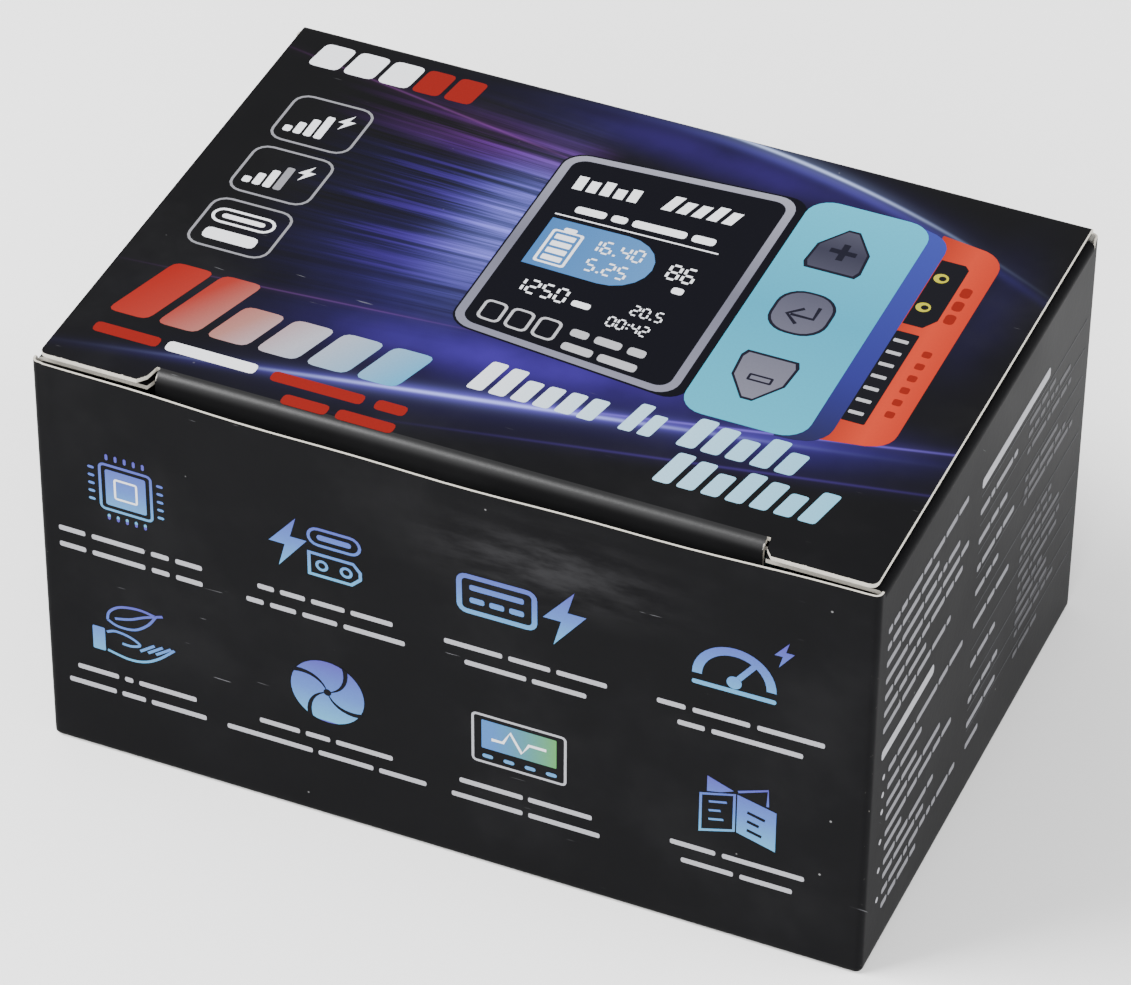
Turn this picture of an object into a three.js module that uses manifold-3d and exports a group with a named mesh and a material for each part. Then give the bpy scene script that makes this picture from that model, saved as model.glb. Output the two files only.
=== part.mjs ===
// A balance battery charger for model packs, in its tuck-end retail carton.
//
// The carton is a folded paperboard sleeve with a hinged lid, a tuck flap and two dust flaps. A foam
// insert inside it holds the charger: a red tub, a black front frame with the screen, a pale blue cover
// with three keys, the connectors on both ends, and the electronics and fan within.
//
// Units are millimetres. The origin is on the floor, under the middle of the carton. +X is to the right
// as one faces the carton, +Y is to its back and +Z is up.

import * as THREE from "three";
import { mergeVertices } from "three/addons/utils/BufferGeometryUtils.js";
import Module from "manifold-3d";

const wasm = await Module();
wasm.setup();

// ---------------------------------------------------------------- driving dimensions

const CARTON = { width: 115, depth: 80, height: 64, board: 0.6, corner: 1.0 };
const GAP = 0.3; // between pieces that rest on each other

const LID = {
  sideGap: 0.9, // the lid is this much narrower than the carton, on each side
  shoulderWidth: 15, // length of the slit-lock shoulder at each end of the front edge
  setBack: 3.6, // from the shoulder's edge to the fold
};
const TUCK = { height: 12.5, bend: 1.6, wallGap: 1.8 };
const DUST = { width: 34, drop: 1.4, notch: 2.2 };

const FOAM = { floor: 17.7, top: 38, bottom: 2.0, sideGap: 0.9, notchRadius: 8, notchFloor: 24 };
const LEAFLET = { width: 100, depth: 70, thickness: 0.8 };

const CHARGER = {
  length: 72, // along X, from the input end to the output end
  width: 54.5, // of the tub and the screen frame
  coverWidth: 57, // of the blue cover, which stands a little proud of the tub
  coverLength: 24.5,
  tubHeight: 22.5,
  coverHeight: 30, // from the tub's underside to the cover's top
  screenHeight: 28.7, // from the tub's underside to the bezel's top
  wall: 1.8,
  corner: 6,
  baseZ: 19, // the tub's underside above the floor
  pocketGap: 0.6, // between the charger and its pocket in the foam
};
const BOARD_Z = 9.4; // the main board's underside, above the tub's underside
const BOARD_THICKNESS = 1.6;
const CONNECTOR_Z = 17; // the middle of every end connector, above the tub's underside
const FAN = { size: 30, height: 6.6, bore: 28.2, x: -6, blades: 7, tilt: 35 };
const KEY = { size: 11.3, pitch: 17, proud: 0.9, flange: 0.9, travel: 0.5, x: 22.4 };

// ---------------------------------------------------------------- materials

const finish = (color, roughness, metalness = 0) =>
  new THREE.MeshStandardMaterial({ color, roughness, metalness });

const MATERIAL = {
  printedBoard: finish(0x1c1c1e, 0.5),
  bareBoard: finish(0xd8d2c4, 0.9),
  paper: finish(0xf0efe9, 0.85),
  foam: finish(0x17171a, 0.95),
  redPlastic: finish(0xd8452f, 0.5),
  bluePlastic: finish(0x8fcfe0, 0.45),
  blackPlastic: finish(0x151517, 0.5),
  greyPlastic: finish(0x9a9aa6, 0.4),
  keyPlastic: finish(0x77778c, 0.45),
  glass: finish(0x050608, 0.1),
  circuitBoard: finish(0x124a2c, 0.5),
  steel: finish(0xb9bcc2, 0.35, 0.9),
  gold: finish(0xd9b23c, 0.3, 0.9),
  aluminium: finish(0xaeb2b8, 0.4, 0.9),
  copper: finish(0xb5693a, 0.4, 0.8),
  rubber: finish(0x1b1b1b, 0.9),
};

// ---------------------------------------------------------------- geometry helpers

/** A box of that size with its lowest corner at x, y, z. */
function block(x, y, z, width, depth, height) {
  return new THREE.BoxGeometry(width, depth, height).translate(x + width / 2, y + depth / 2, z + height / 2);
}

/** A cylinder about Z that stands on z. */
function post(x, y, z, radius, height, sides = 12) {
  return new THREE.CylinderGeometry(radius, radius, height, sides)
    .rotateX(Math.PI / 2)
    .translate(x, y, z + height / 2);
}

/** A rectangle with round corners about cx, cy, as a Shape or, for a hole, a Path. */
function roundRect(width, depth, radius, cx = 0, cy = 0, Kind = THREE.Shape) {
  const [x, y] = [cx - width / 2, cy - depth / 2];
  const path = new Kind();
  path.moveTo(x + radius, y);
  path.absarc(x + width - radius, y + radius, radius, -Math.PI / 2, 0);
  path.absarc(x + width - radius, y + depth - radius, radius, 0, Math.PI / 2);
  path.absarc(x + radius, y + depth - radius, radius, Math.PI / 2, Math.PI);
  path.absarc(x + radius, y + radius, radius, Math.PI, Math.PI * 1.5);
  return path;
}

/** An outline pulled up along Z, from z. */
function slab(shape, z, height, curveSegments = 3) {
  return new THREE.ExtrudeGeometry(shape, { depth: height, bevelEnabled: false, curveSegments }).translate(0, 0, z);
}

/** A polygon of [x, y] points as a Shape. */
function polygon(points) {
  return new THREE.Shape(points.map(([x, y]) => new THREE.Vector2(x, y)));
}

/** An outline drawn in Y and Z, pulled along X from x. Its first coordinate is Y and its second is Z. */
function slabAlongX(shape, x, length, curveSegments = 3) {
  return slab(shape, 0, length, curveSegments)
    .applyMatrix4(new THREE.Matrix4().set(0, 0, 1, x, 1, 0, 0, 0, 0, 1, 0, 0, 0, 0, 0, 1));
}

/** A closed geometry as a manifold-3d solid. */
function solid(geometry) {
  const bare = new THREE.BufferGeometry();
  bare.setAttribute("position", geometry.getAttribute("position"));
  if (geometry.index) bare.setIndex(geometry.index);
  const merged = mergeVertices(bare, 1e-4);
  return new wasm.Manifold(new wasm.Mesh({
    numProp: 3,
    vertProperties: new Float32Array(merged.attributes.position.array),
    triVerts: new Uint32Array(merged.index.array),
  }));
}

/** A manifold-3d solid as a BufferGeometry. */
function geometryOf(manifold) {
  const mesh = manifold.getMesh();
  const geometry = new THREE.BufferGeometry();
  geometry.setAttribute("position", new THREE.BufferAttribute(new Float32Array(mesh.vertProperties), 3));
  geometry.setIndex(new THREE.BufferAttribute(new Uint32Array(mesh.triVerts), 1));
  return geometry;
}

/** The first geometry with the others joined to it. */
const join = (first, ...others) => geometryOf(others.reduce((sum, g) => sum.add(solid(g)), solid(first)));

/** The first geometry with the others cut out of it. */
const cut = (first, ...others) => geometryOf(others.reduce((left, g) => left.subtract(solid(g)), solid(first)));

/** What two geometries share. */
const common = (a, b) => geometryOf(solid(a).intersect(solid(b)));

function piece(name, geometry, material) {
  const mesh = new THREE.Mesh(geometry, material);
  mesh.name = name;
  return mesh;
}

// ---------------------------------------------------------------- the carton

const FRONT_Y = -CARTON.depth / 2;
const LID_UNDER = CARTON.height - CARTON.board;
const FOLD_Y = FRONT_Y + CARTON.board + TUCK.wallGap + TUCK.bend; // where the lid's front edge starts to bend

/** Four walls in one piece. The side walls are lower, because the dust flaps fold over them. */
function cartonSleeve() {
  const { width, depth, board, corner } = CARTON;
  const outline = roundRect(width, depth, corner);
  outline.holes.push(roundRect(width - 2 * board, depth - 2 * board, corner - board, 0, 0, THREE.Path));
  const wallTop = LID_UNDER - 0.5;
  const walls = slab(outline, 0, wallTop);
  const flapFold = wallTop - DUST.drop;
  const sideCut = (x) => block(x, FRONT_Y + corner, flapFold, 2, depth - 2 * corner, 5);
  return cut(walls, sideCut(-width / 2 - 1), sideCut(width / 2 - 1));
}

/** The glued bottom, between the walls. */
function bottomPanel() {
  const inside = 2 * (CARTON.board + GAP);
  return slab(roundRect(CARTON.width - inside, CARTON.depth - inside, 0.4), 0, CARTON.board, 1);
}

/** The lid, with a shoulder at each end of its front edge where the slit lock is cut. */
function lidPanel() {
  const half = CARTON.width / 2 - LID.sideGap;
  const fold = half - LID.shoulderWidth;
  const shoulderY = FOLD_Y + GAP - LID.setBack;
  const foldY = FOLD_Y + GAP;
  const outline = polygon([
    [-half, shoulderY + 0.8],
    [-half + 0.8, shoulderY],
    [-fold - 1.2, shoulderY],
    [-fold, shoulderY + 1.2],
    [-fold, foldY],
    [fold, foldY],
    [fold, shoulderY + 1.2],
    [fold + 1.2, shoulderY],
    [half - 0.8, shoulderY],
    [half, shoulderY + 0.8],
    [half, CARTON.depth / 2 - 0.7],
    [-half, CARTON.depth / 2 - 0.7],
  ]);
  return slab(outline, LID_UNDER, CARTON.board);
}

/** The flap that bends down from the lid and slips in behind the front wall. */
function tuckFlap() {
  const half = CARTON.width / 2 - LID.sideGap - LID.shoulderWidth - 0.4;
  const { board, height } = CARTON;
  const [outer, inner] = [TUCK.bend, TUCK.bend - board];
  const centreZ = height - outer;
  const profile = new THREE.Shape();
  profile.moveTo(FOLD_Y, height);
  profile.absarc(FOLD_Y, centreZ, outer, Math.PI / 2, Math.PI);
  profile.lineTo(FOLD_Y - outer, height - TUCK.height);
  profile.lineTo(FOLD_Y - inner, height - TUCK.height);
  profile.absarc(FOLD_Y, centreZ, inner, Math.PI, Math.PI / 2, true);
  return slabAlongX(profile, -half, 2 * half, 4);
}

/** A dust flap. side is -1 on the left and 1 on the right. Its back edge is cut at 45 degrees. */
function dustFlap(side) {
  const crease = CARTON.width / 2 - 0.8;
  const tip = crease - DUST.width;
  const back = CARTON.depth / 2 - 1.4;
  const front = FRONT_Y + 1.4;
  const step = CARTON.width / 2 - LID.sideGap - LID.shoulderWidth + 1.2;
  const corners = [
    [crease, front],
    [crease, back],
    [tip, back - DUST.width],
    [tip, front + DUST.notch],
    [step, front + DUST.notch],
    [step, front],
  ].map(([x, y]) => [side * x, y]);
  return slab(polygon(corners), LID_UNDER - DUST.drop, CARTON.board);
}

/** A foam block with the charger's pocket and two finger notches. */
function foamInsert() {
  const inside = 2 * (CARTON.board + FOAM.sideGap);
  const blockOfFoam = slab(
    roundRect(CARTON.width - inside, CARTON.depth - inside, 1), FOAM.bottom, FOAM.top - FOAM.bottom, 1);
  const { length, coverWidth, pocketGap, corner } = CHARGER;
  const pocket = slab(
    roundRect(length + 1 + 2 * pocketGap, coverWidth + 2 * pocketGap, corner), FOAM.floor, 40);
  const notch = (y) => post(0, y, FOAM.notchFloor, FOAM.notchRadius, 40, 16);
  const edge = coverWidth / 2 + pocketGap;
  return cut(blockOfFoam, pocket, notch(-edge), notch(edge));
}

function userLeaflet() {
  const { width, depth, thickness } = LEAFLET;
  return slab(roundRect(width, depth, 2), CARTON.board + GAP, thickness, 2);
}

// ---------------------------------------------------------------- the charger's case
// Everything below is in the charger's own frame: the origin is in the middle of the tub's underside.

const HALF_LENGTH = CHARGER.length / 2;
const COVER_LEFT = HALF_LENGTH + 0.4 - CHARGER.coverLength;
const FRAME_Z = CHARGER.tubHeight + GAP;
const SCREW_SPOTS = [[-30.9, -22.4], [30.9, -22.4], [-30.9, 22.4], [30.9, 22.4]];
const FOOT_SPOTS = [[-27, -17], [27, -17], [-27, 17], [27, 17]];
const OUTPUT_SOCKET = { y: 11.8, width: 16, height: 8.2 };
const BALANCE = { y: -9.4, width: 21, height: 6.4, pins: 7, pitch: 2.5 };
const INPUT_SOCKET = { y: 11.8, width: 16, height: 8.2 };
const USB = { y: -9, width: 8.9, height: 3.3 };

/** A hole through an end wall, sized for a connector of that width and height. */
function endWindow(x, { y, width, height }, clearance = GAP) {
  return block(x - 2, y - width / 2 - clearance, CONNECTOR_Z - height / 2 - clearance,
    4, width + 2 * clearance, height + 2 * clearance);
}

/** The red tub, with windows for the connectors, vents in the sides and the fan's grille in the floor. */
function rearShell() {
  const { length, width, wall, corner, tubHeight } = CHARGER;
  const outside = slab(roundRect(length, width, corner), 0, tubHeight, 4);
  const inside = slab(roundRect(length - 2 * wall, width - 2 * wall, corner - wall), wall, tubHeight, 4);
  const windows = [
    endWindow(HALF_LENGTH, OUTPUT_SOCKET),
    endWindow(HALF_LENGTH, BALANCE),
    endWindow(-HALF_LENGTH, INPUT_SOCKET),
    endWindow(-HALF_LENGTH, USB),
  ];
  const grille = [-2, -1, 0, 1, 2].map((row) => {
    const y = row * 5;
    const reach = Math.sqrt(13 ** 2 - y ** 2);
    return block(FAN.x - reach, y - 1.1, -1, 2 * reach, 2.2, 5);
  });
  const vents = [0, 1, 2, 3, 4].map((column) => block(6 + column * 4, -40, 6, 2, 80, 9));
  const shell = cut(outside, inside, ...windows, ...grille, ...vents);
  const bosses = SCREW_SPOTS.map(([x, y]) => post(x, y, 0.9, 2.2, 4.8, 10));
  const heads = SCREW_SPOTS.map(([x, y]) => post(x, y, -1, 1.9, 3, 10));
  const holes = SCREW_SPOTS.map(([x, y]) => post(x, y, -1, 1.25, 10, 10));
  return cut(join(shell, ...bosses), ...heads, ...holes);
}

/** The black frame under the screen and the cover, with four posts that the screws bite into. */
function frontFrame() {
  const right = COVER_LEFT - 0.4;
  const [screenLength, screenX] = [right + HALF_LENGTH, (right - HALF_LENGTH) / 2];
  const plate = slab(roundRect(screenLength, CHARGER.width, 4.5, screenX), FRAME_Z, 1.8);
  const keyPlate = block(right - 4, -25.4, FRAME_Z, 26, 50.8, 1.8);
  const rim = slab(roundRect(screenLength, CHARGER.width, 4.5, screenX), FRAME_Z + 1.8, 3.2);
  const well = slab(roundRect(41, 46, 1, screenX), FRAME_Z - 0.1, 10, 1);
  const posts = SCREW_SPOTS.map(([x, y]) => post(x, y, 6.2, 2.2, FRAME_Z - 5, 10));
  const holes = SCREW_SPOTS.map(([x, y]) => post(x, y, 5, 1.25, 8, 10));
  return cut(join(plate, keyPlate, rim, ...posts), well, ...holes);
}

const SCREEN = {
  x: (COVER_LEFT - 0.4 - HALF_LENGTH) / 2,
  length: COVER_LEFT - 0.4 + HALF_LENGTH,
  width: CHARGER.width - 0.5,
  ring: 1.7,
  frameTop: FRAME_Z + 5,
};

/** The grey ring round the window. */
function screenBezel() {
  const { x, length, width, ring, frameTop } = SCREEN;
  const outline = roundRect(length, width, 4.5, x);
  outline.holes.push(roundRect(length - 2 * ring, width - 2 * ring, 3, x, 0, THREE.Path));
  return slab(outline, frameTop, CHARGER.screenHeight - frameTop, 4);
}

function screenWindow() {
  const { x, length, width, ring, frameTop } = SCREEN;
  const inset = 2 * (ring + 0.1);
  return slab(roundRect(length - inset, width - inset, 3, x), frameTop, 0.7, 4);
}

function lcdModule() {
  return block(SCREEN.x - 20, -22.5, FRAME_Z + 1.2, 40, 45, 3.2);
}

/** A key's outline: pointed up or down, or a round square. */
function keyOutline(kind, grow, Kind = THREE.Shape, cx = 0, cy = 0) {
  const half = KEY.size / 2 + grow;
  if (kind === "enter") return roundRect(2 * half, 2 * half, 4.2 + grow, cx, cy, Kind);
  const up = kind === "plus" ? 1 : -1;
  const points = [
    [-half + 0.6, -half], [half - 0.6, -half], [half, -half + 1.4], [half * 0.92, half * 0.18],
    [1.3, half], [-1.3, half], [-half * 0.92, half * 0.18], [-half, -half + 1.4],
  ].map(([x, y]) => new THREE.Vector2(cx + x, cy + up * y));
  if (up < 0) points.reverse();
  return new Kind(points);
}

const KEYS = [
  { name: "plus", y: KEY.pitch },
  { name: "enter", y: 0 },
  { name: "minus", y: -KEY.pitch },
];

/** The blue cover: a shallow shell, open underneath, with a hole for each key. */
function keyCover() {
  const { coverLength, coverWidth, coverHeight } = CHARGER;
  const x = COVER_LEFT + coverLength / 2;
  const wall = 1.6;
  const outline = roundRect(coverLength, coverWidth, 5.5, x);
  KEYS.forEach(({ name, y }) => outline.holes.push(keyOutline(name, GAP, THREE.Path, KEY.x, y)));
  const outside = slab(outline, FRAME_Z, coverHeight - FRAME_Z, 4);
  const inside = slab(roundRect(coverLength - 2 * wall, coverWidth - 2 * wall, 4, x), 0, coverHeight - wall, 3);
  const plateSlot = block(COVER_LEFT - 1, -25.8, FRAME_Z - 1, 4, 51.6, 1 + 1.8 + GAP);
  return cut(outside, inside, plateSlot);
}

/** A key with a flange that keeps it under the cover. */
function key(kind, y) {
  const flangeTop = CHARGER.coverHeight - 1.6 - GAP;
  const flange = slab(keyOutline(kind, KEY.flange, THREE.Shape, KEY.x, y), flangeTop - 0.5, 0.5);
  const cap = slab(
    keyOutline(kind, 0, THREE.Shape, KEY.x, y), flangeTop - 0.2, CHARGER.coverHeight + KEY.proud - flangeTop + 0.2);
  return join(flange, cap);
}

const KEY_BOARD_Z = FRAME_Z + 2.0;

// ---------------------------------------------------------------- the charger's electronics

/** The main board. Its corners are cut away to clear the screw posts. */
function mainBoard() {
  const wide = block(-33.4, -17.5, BOARD_Z, 66.8, 35, BOARD_THICKNESS);
  const deep = block(-27.5, -24.4, BOARD_Z, 55, 48.8, BOARD_THICKNESS);
  return join(wide, deep);
}

const COMPONENT_Z = BOARD_Z + BOARD_THICKNESS;

/** A finned heat sink on the board. */
function heatSink() {
  const fins = [0, 1, 2, 3, 4].map((n) => block(-10 + n * 4.5, -9, COMPONENT_Z + 2, 2, 18, 6));
  return join(block(-10, -9, COMPONENT_Z, 20, 18, 2.4), ...fins);
}

/** A turned profile of [radius, z] points about Z, moved to x, y. The profile starts and ends on the axis. */
function turned(points, x, y, sides = 16) {
  const profile = points.map(([radius, z]) => new THREE.Vector2(radius, z));
  return new THREE.LatheGeometry(profile, sides).rotateX(Math.PI / 2).translate(x, y, 0);
}

const INDUCTOR = { x: -22, y: -16.5, radius: 6 };

/** The ferrite bobbin of the power inductor. */
function inductorCore() {
  const { x, y, radius } = INDUCTOR;
  const z = COMPONENT_Z;
  return turned([[0, z], [radius, z], [radius, z + 1.5], [3, z + 1.5], [3, z + 6.5],
    [radius, z + 6.5], [radius, z + 8], [0, z + 8]], x, y);
}

function inductorCoil() {
  const { x, y } = INDUCTOR;
  const [low, high] = [COMPONENT_Z + 1.8, COMPONENT_Z + 6.2];
  return turned([[3.3, low], [5.6, low], [5.6, high], [3.3, high], [3.3, low]], x, y);
}

function fanFrame() {
  const { size, height, bore, x } = FAN;
  const z = 2.1;
  const body = cut(slab(roundRect(size, size, 2.5, x), z, height, 2), post(x, 0, 0, bore / 2, 20, 24));
  const spokes = [0, 1, 2].map((n) => block(0, -0.8, z, bore / 2 + 0.4, 1.6, 0.8)
    .rotateZ((n * 2 * Math.PI) / 3).translate(x, 0, 0));
  return join(body, post(x, 0, z, 6, 0.8, 16), ...spokes);
}

function fanRotor() {
  const { x, blades, tilt, bore } = FAN;
  const z = 3.3;
  const hub = post(0, 0, z, 6.5, 5, 16);
  const tip = bore / 2 - 0.6;
  const blade = new THREE.BoxGeometry(10, 6.6, 0.7)
    .rotateX(THREE.MathUtils.degToRad(tilt)).translate(10, 0, z + 2.5);
  const all = Array.from({ length: blades }, (_, n) => blade.clone().rotateZ((n * 2 * Math.PI) / blades));
  const wheel = join(hub, ...all);
  return common(wheel, post(0, 0, z, tip, 5, 28)).translate(x, 0, 0);
}

// ---------------------------------------------------------------- the charger's connectors

/** A power connector's outline in Y and Z: a rectangle with two corners cut off, on the side where y is low. */
function powerOutline(y, width, height, Kind = THREE.Shape) {
  const [w, h] = [width / 2, height / 2];
  const chamfer = h * 0.55;
  return new Kind([
    [y - w + chamfer, -h], [y + w, -h], [y + w, h], [y - w + chamfer, h], [y - w, h - chamfer], [y - w, -h + chamfer],
  ].map(([py, pz]) => new THREE.Vector2(py, CONNECTOR_Z + pz)));
}

const CONTACT_SPACING = 7.2; // between the two contacts of a power connector

function contactHole(y, radius) {
  const hole = new THREE.Path();
  hole.absarc(y, CONNECTOR_Z, radius, 0, 2 * Math.PI);
  return hole;
}

/** The output socket: a black block with a bore for each contact. */
function outputSocket() {
  const { y, width, height } = OUTPUT_SOCKET;
  const outline = powerOutline(y, width, height);
  [-1, 1].forEach((side) => outline.holes.push(contactHole(y + (side * CONTACT_SPACING) / 2, 2.6)));
  return slabAlongX(outline, 20, HALF_LENGTH + 0.4 - 20, 6);
}

/** A hollow gold contact of the output socket. */
function outputContact(side) {
  const y = OUTPUT_SOCKET.y + (side * CONTACT_SPACING) / 2;
  const outline = new THREE.Shape();
  outline.absarc(y, CONNECTOR_Z, 2.3, 0, 2 * Math.PI);
  outline.holes.push(contactHole(y, 1.7));
  return slabAlongX(outline, 21, HALF_LENGTH - 1.2 - 21, 6);
}

/** The input socket: a shroud, open at the input end, round two pins. */
function inputSocket() {
  const { y, width, height } = INPUT_SOCKET;
  const shroud = slabAlongX(powerOutline(y, width, height), -HALF_LENGTH - 0.4, 16);
  const hollow = slabAlongX(powerOutline(y, width - 2.2, height - 2.2), -HALF_LENGTH - 2, 12.5);
  const pinHoles = [-1, 1].map((side) => new THREE.CylinderGeometry(2, 2, 10, 12)
    .rotateZ(Math.PI / 2).translate(-22, y + (side * CONTACT_SPACING) / 2, CONNECTOR_Z));
  return cut(shroud, hollow, ...pinHoles);
}

function inputPin(side) {
  const y = INPUT_SOCKET.y + (side * CONTACT_SPACING) / 2;
  return new THREE.CylinderGeometry(1.75, 1.75, 13, 12)
    .rotateZ(Math.PI / 2).translate(-HALF_LENGTH + 1.6 + 6.5, y, CONNECTOR_Z);
}

/** A rounded tube along X, in Y and Z. */
function usbShell() {
  const { y, width, height } = USB;
  const outline = roundRect(width, height, height / 2, y, CONNECTOR_Z);
  outline.holes.push(roundRect(width - 0.6, height - 0.6, height / 2 - 0.3, y, CONNECTOR_Z, THREE.Path));
  return slabAlongX(outline, -HALF_LENGTH - 0.3, 8, 3);
}

/** The tongue that carries the contacts, with its base at the back of the shell. */
function usbTongue() {
  const tongue = block(-HALF_LENGTH + 0.6, USB.y - 3.3, CONNECTOR_Z - 0.35, 7, 6.6, 0.7);
  const base = block(-HALF_LENGTH + 5.4, USB.y - 3, CONNECTOR_Z - 1, 2.2, 6, 2);
  return join(tongue, base);
}

/** The balance socket: a shroud with a key slot over each cell, open at the output end. */
function balanceHeader() {
  const { y, width, height, pins, pitch } = BALANCE;
  const low = CONNECTOR_Z - height / 2;
  const right = HALF_LENGTH + 0.3;
  const body = block(right - 10, y - width / 2, low, 10, width, height);
  const hollow = block(right - 8, y - width / 2 + 1, low + 1, 12, width - 2, height - 2);
  const slots = Array.from({ length: pins - 1 }, (_, n) =>
    block(right - 5, y + (n - (pins - 2) / 2) * pitch - 0.5, low - 1, 8, 1, 2.6));
  return cut(body, hollow, ...slots);
}

function balancePin(index) {
  const { y, pins, pitch } = BALANCE;
  const centre = y + (index - (pins - 1) / 2) * pitch;
  return block(HALF_LENGTH - 7.4, centre - 0.32, CONNECTOR_Z - 0.32, 6.2, 0.64, 0.64);
}

/** A pan-head screw, driven from below. */
function shellScrew(x, y) {
  return join(post(x, y, 0.5, 1.6, 1.4, 12), post(x, y, 1.5, 0.95, 9.5, 10));
}

// ---------------------------------------------------------------- assembly

const part = new THREE.Group();

part.add(
  piece("carton_sleeve", cartonSleeve(), MATERIAL.printedBoard),
  piece("bottom_panel", bottomPanel(), MATERIAL.printedBoard),
  piece("lid_panel", lidPanel(), MATERIAL.printedBoard),
  piece("tuck_flap", tuckFlap(), MATERIAL.printedBoard),
  piece("dust_flap_left", dustFlap(-1), MATERIAL.bareBoard),
  piece("dust_flap_right", dustFlap(1), MATERIAL.bareBoard),
  piece("foam_insert", foamInsert(), MATERIAL.foam),
  piece("user_leaflet", userLeaflet(), MATERIAL.paper),
);

const charger = new THREE.Group();
charger.position.z = CHARGER.baseZ;
part.add(charger);

charger.add(
  piece("rear_shell", rearShell(), MATERIAL.redPlastic),
  piece("front_frame", frontFrame(), MATERIAL.blackPlastic),
  piece("screen_bezel", screenBezel(), MATERIAL.greyPlastic),
  piece("screen_window", screenWindow(), MATERIAL.glass),
  piece("lcd_module", lcdModule(), MATERIAL.blackPlastic),
  piece("button_cover", keyCover(), MATERIAL.bluePlastic),
  piece("button_board", block(14.2, -24, KEY_BOARD_Z, 18, 48, 1), MATERIAL.circuitBoard),
);

KEYS.forEach(({ name, y }) => {
  charger.add(
    piece("button_" + name, key(name, y), MATERIAL.keyPlastic),
    piece("tact_switch_" + name, block(KEY.x - 2.2, y - 2.2, KEY_BOARD_Z + 1.2, 4.4, 4.4, 0.9), MATERIAL.steel),
  );
});

charger.add(
  piece("main_board", mainBoard(), MATERIAL.circuitBoard),
  piece("microcontroller", block(3, 14, COMPONENT_Z, 8, 8, 1.2), MATERIAL.blackPlastic),
  piece("heat_sink", heatSink(), MATERIAL.aluminium),
  piece("inductor_core", inductorCore(), MATERIAL.blackPlastic),
  piece("inductor_coil", inductorCoil(), MATERIAL.copper),
  piece("beeper", post(-6, 18, COMPONENT_Z, 4.2, 4, 12), MATERIAL.blackPlastic),
  piece("fan_frame", fanFrame(), MATERIAL.blackPlastic),
  piece("fan_rotor", fanRotor(), MATERIAL.blackPlastic),
);

[-10.5, -1.5].forEach((x, n) => {
  charger.add(piece("capacitor_" + (n + 1), post(x, -17.5, COMPONENT_Z, 4, 10, 12), MATERIAL.aluminium));
});
[0, 1, 2, 3].forEach((n) => {
  charger.add(
    piece("mosfet_" + (n + 1), block(5 + n * 6, -20, COMPONENT_Z, 4.4, 5.4, 1.1), MATERIAL.blackPlastic),
  );
});

charger.add(
  piece("output_socket", outputSocket(), MATERIAL.blackPlastic),
  piece("output_contact_negative", outputContact(-1), MATERIAL.gold),
  piece("output_contact_positive", outputContact(1), MATERIAL.gold),
  piece("input_socket", inputSocket(), MATERIAL.blackPlastic),
  piece("input_pin_negative", inputPin(-1), MATERIAL.gold),
  piece("input_pin_positive", inputPin(1), MATERIAL.gold),
  piece("usb_c_shell", usbShell(), MATERIAL.steel),
  piece("usb_c_tongue", usbTongue(), MATERIAL.blackPlastic),
  piece("balance_header", balanceHeader(), MATERIAL.blackPlastic),
);
for (let n = 0; n < BALANCE.pins; n++) {
  charger.add(piece("balance_pin_" + (n + 1), balancePin(n), MATERIAL.steel));
}
SCREW_SPOTS.forEach(([x, y], n) => {
  charger.add(piece("shell_screw_" + (n + 1), shellScrew(x, y), MATERIAL.steel));
});
FOOT_SPOTS.forEach(([x, y], n) => {
  charger.add(piece("rubber_foot_" + (n + 1), post(x, y, -1, 3, 1, 12), MATERIAL.rubber));
});

export default part;
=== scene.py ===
"""The looks of a boxed balance battery charger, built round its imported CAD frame.

Every shape is drawn in millimetres in the frame's own axes, and Mesh.build turns it into metres.
"""

import math
import random

import bmesh
import bpy
from mathutils import Matrix, Quaternion, Vector


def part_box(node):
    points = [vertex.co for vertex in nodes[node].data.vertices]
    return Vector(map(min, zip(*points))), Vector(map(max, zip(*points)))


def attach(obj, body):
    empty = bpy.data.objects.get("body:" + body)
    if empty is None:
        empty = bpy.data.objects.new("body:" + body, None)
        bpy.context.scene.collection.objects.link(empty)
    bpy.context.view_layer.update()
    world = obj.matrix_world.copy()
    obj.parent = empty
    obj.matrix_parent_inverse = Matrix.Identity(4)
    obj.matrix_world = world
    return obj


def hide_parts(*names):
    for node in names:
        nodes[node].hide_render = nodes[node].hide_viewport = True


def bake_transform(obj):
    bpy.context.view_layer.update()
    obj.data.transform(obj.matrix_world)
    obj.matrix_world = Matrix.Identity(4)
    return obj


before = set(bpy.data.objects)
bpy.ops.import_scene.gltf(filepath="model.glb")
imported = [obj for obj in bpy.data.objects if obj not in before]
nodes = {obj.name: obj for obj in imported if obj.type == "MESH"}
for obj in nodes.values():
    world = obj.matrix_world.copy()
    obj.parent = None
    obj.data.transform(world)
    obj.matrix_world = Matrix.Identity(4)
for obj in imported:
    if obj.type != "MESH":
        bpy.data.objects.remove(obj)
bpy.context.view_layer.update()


def box_mm(node):
    """A CAD node's lowest and highest corners, in millimetres."""
    low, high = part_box(node)
    return low * 1000, high * 1000


# ---------------------------------------------------------------- sizes, in millimetres

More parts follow.
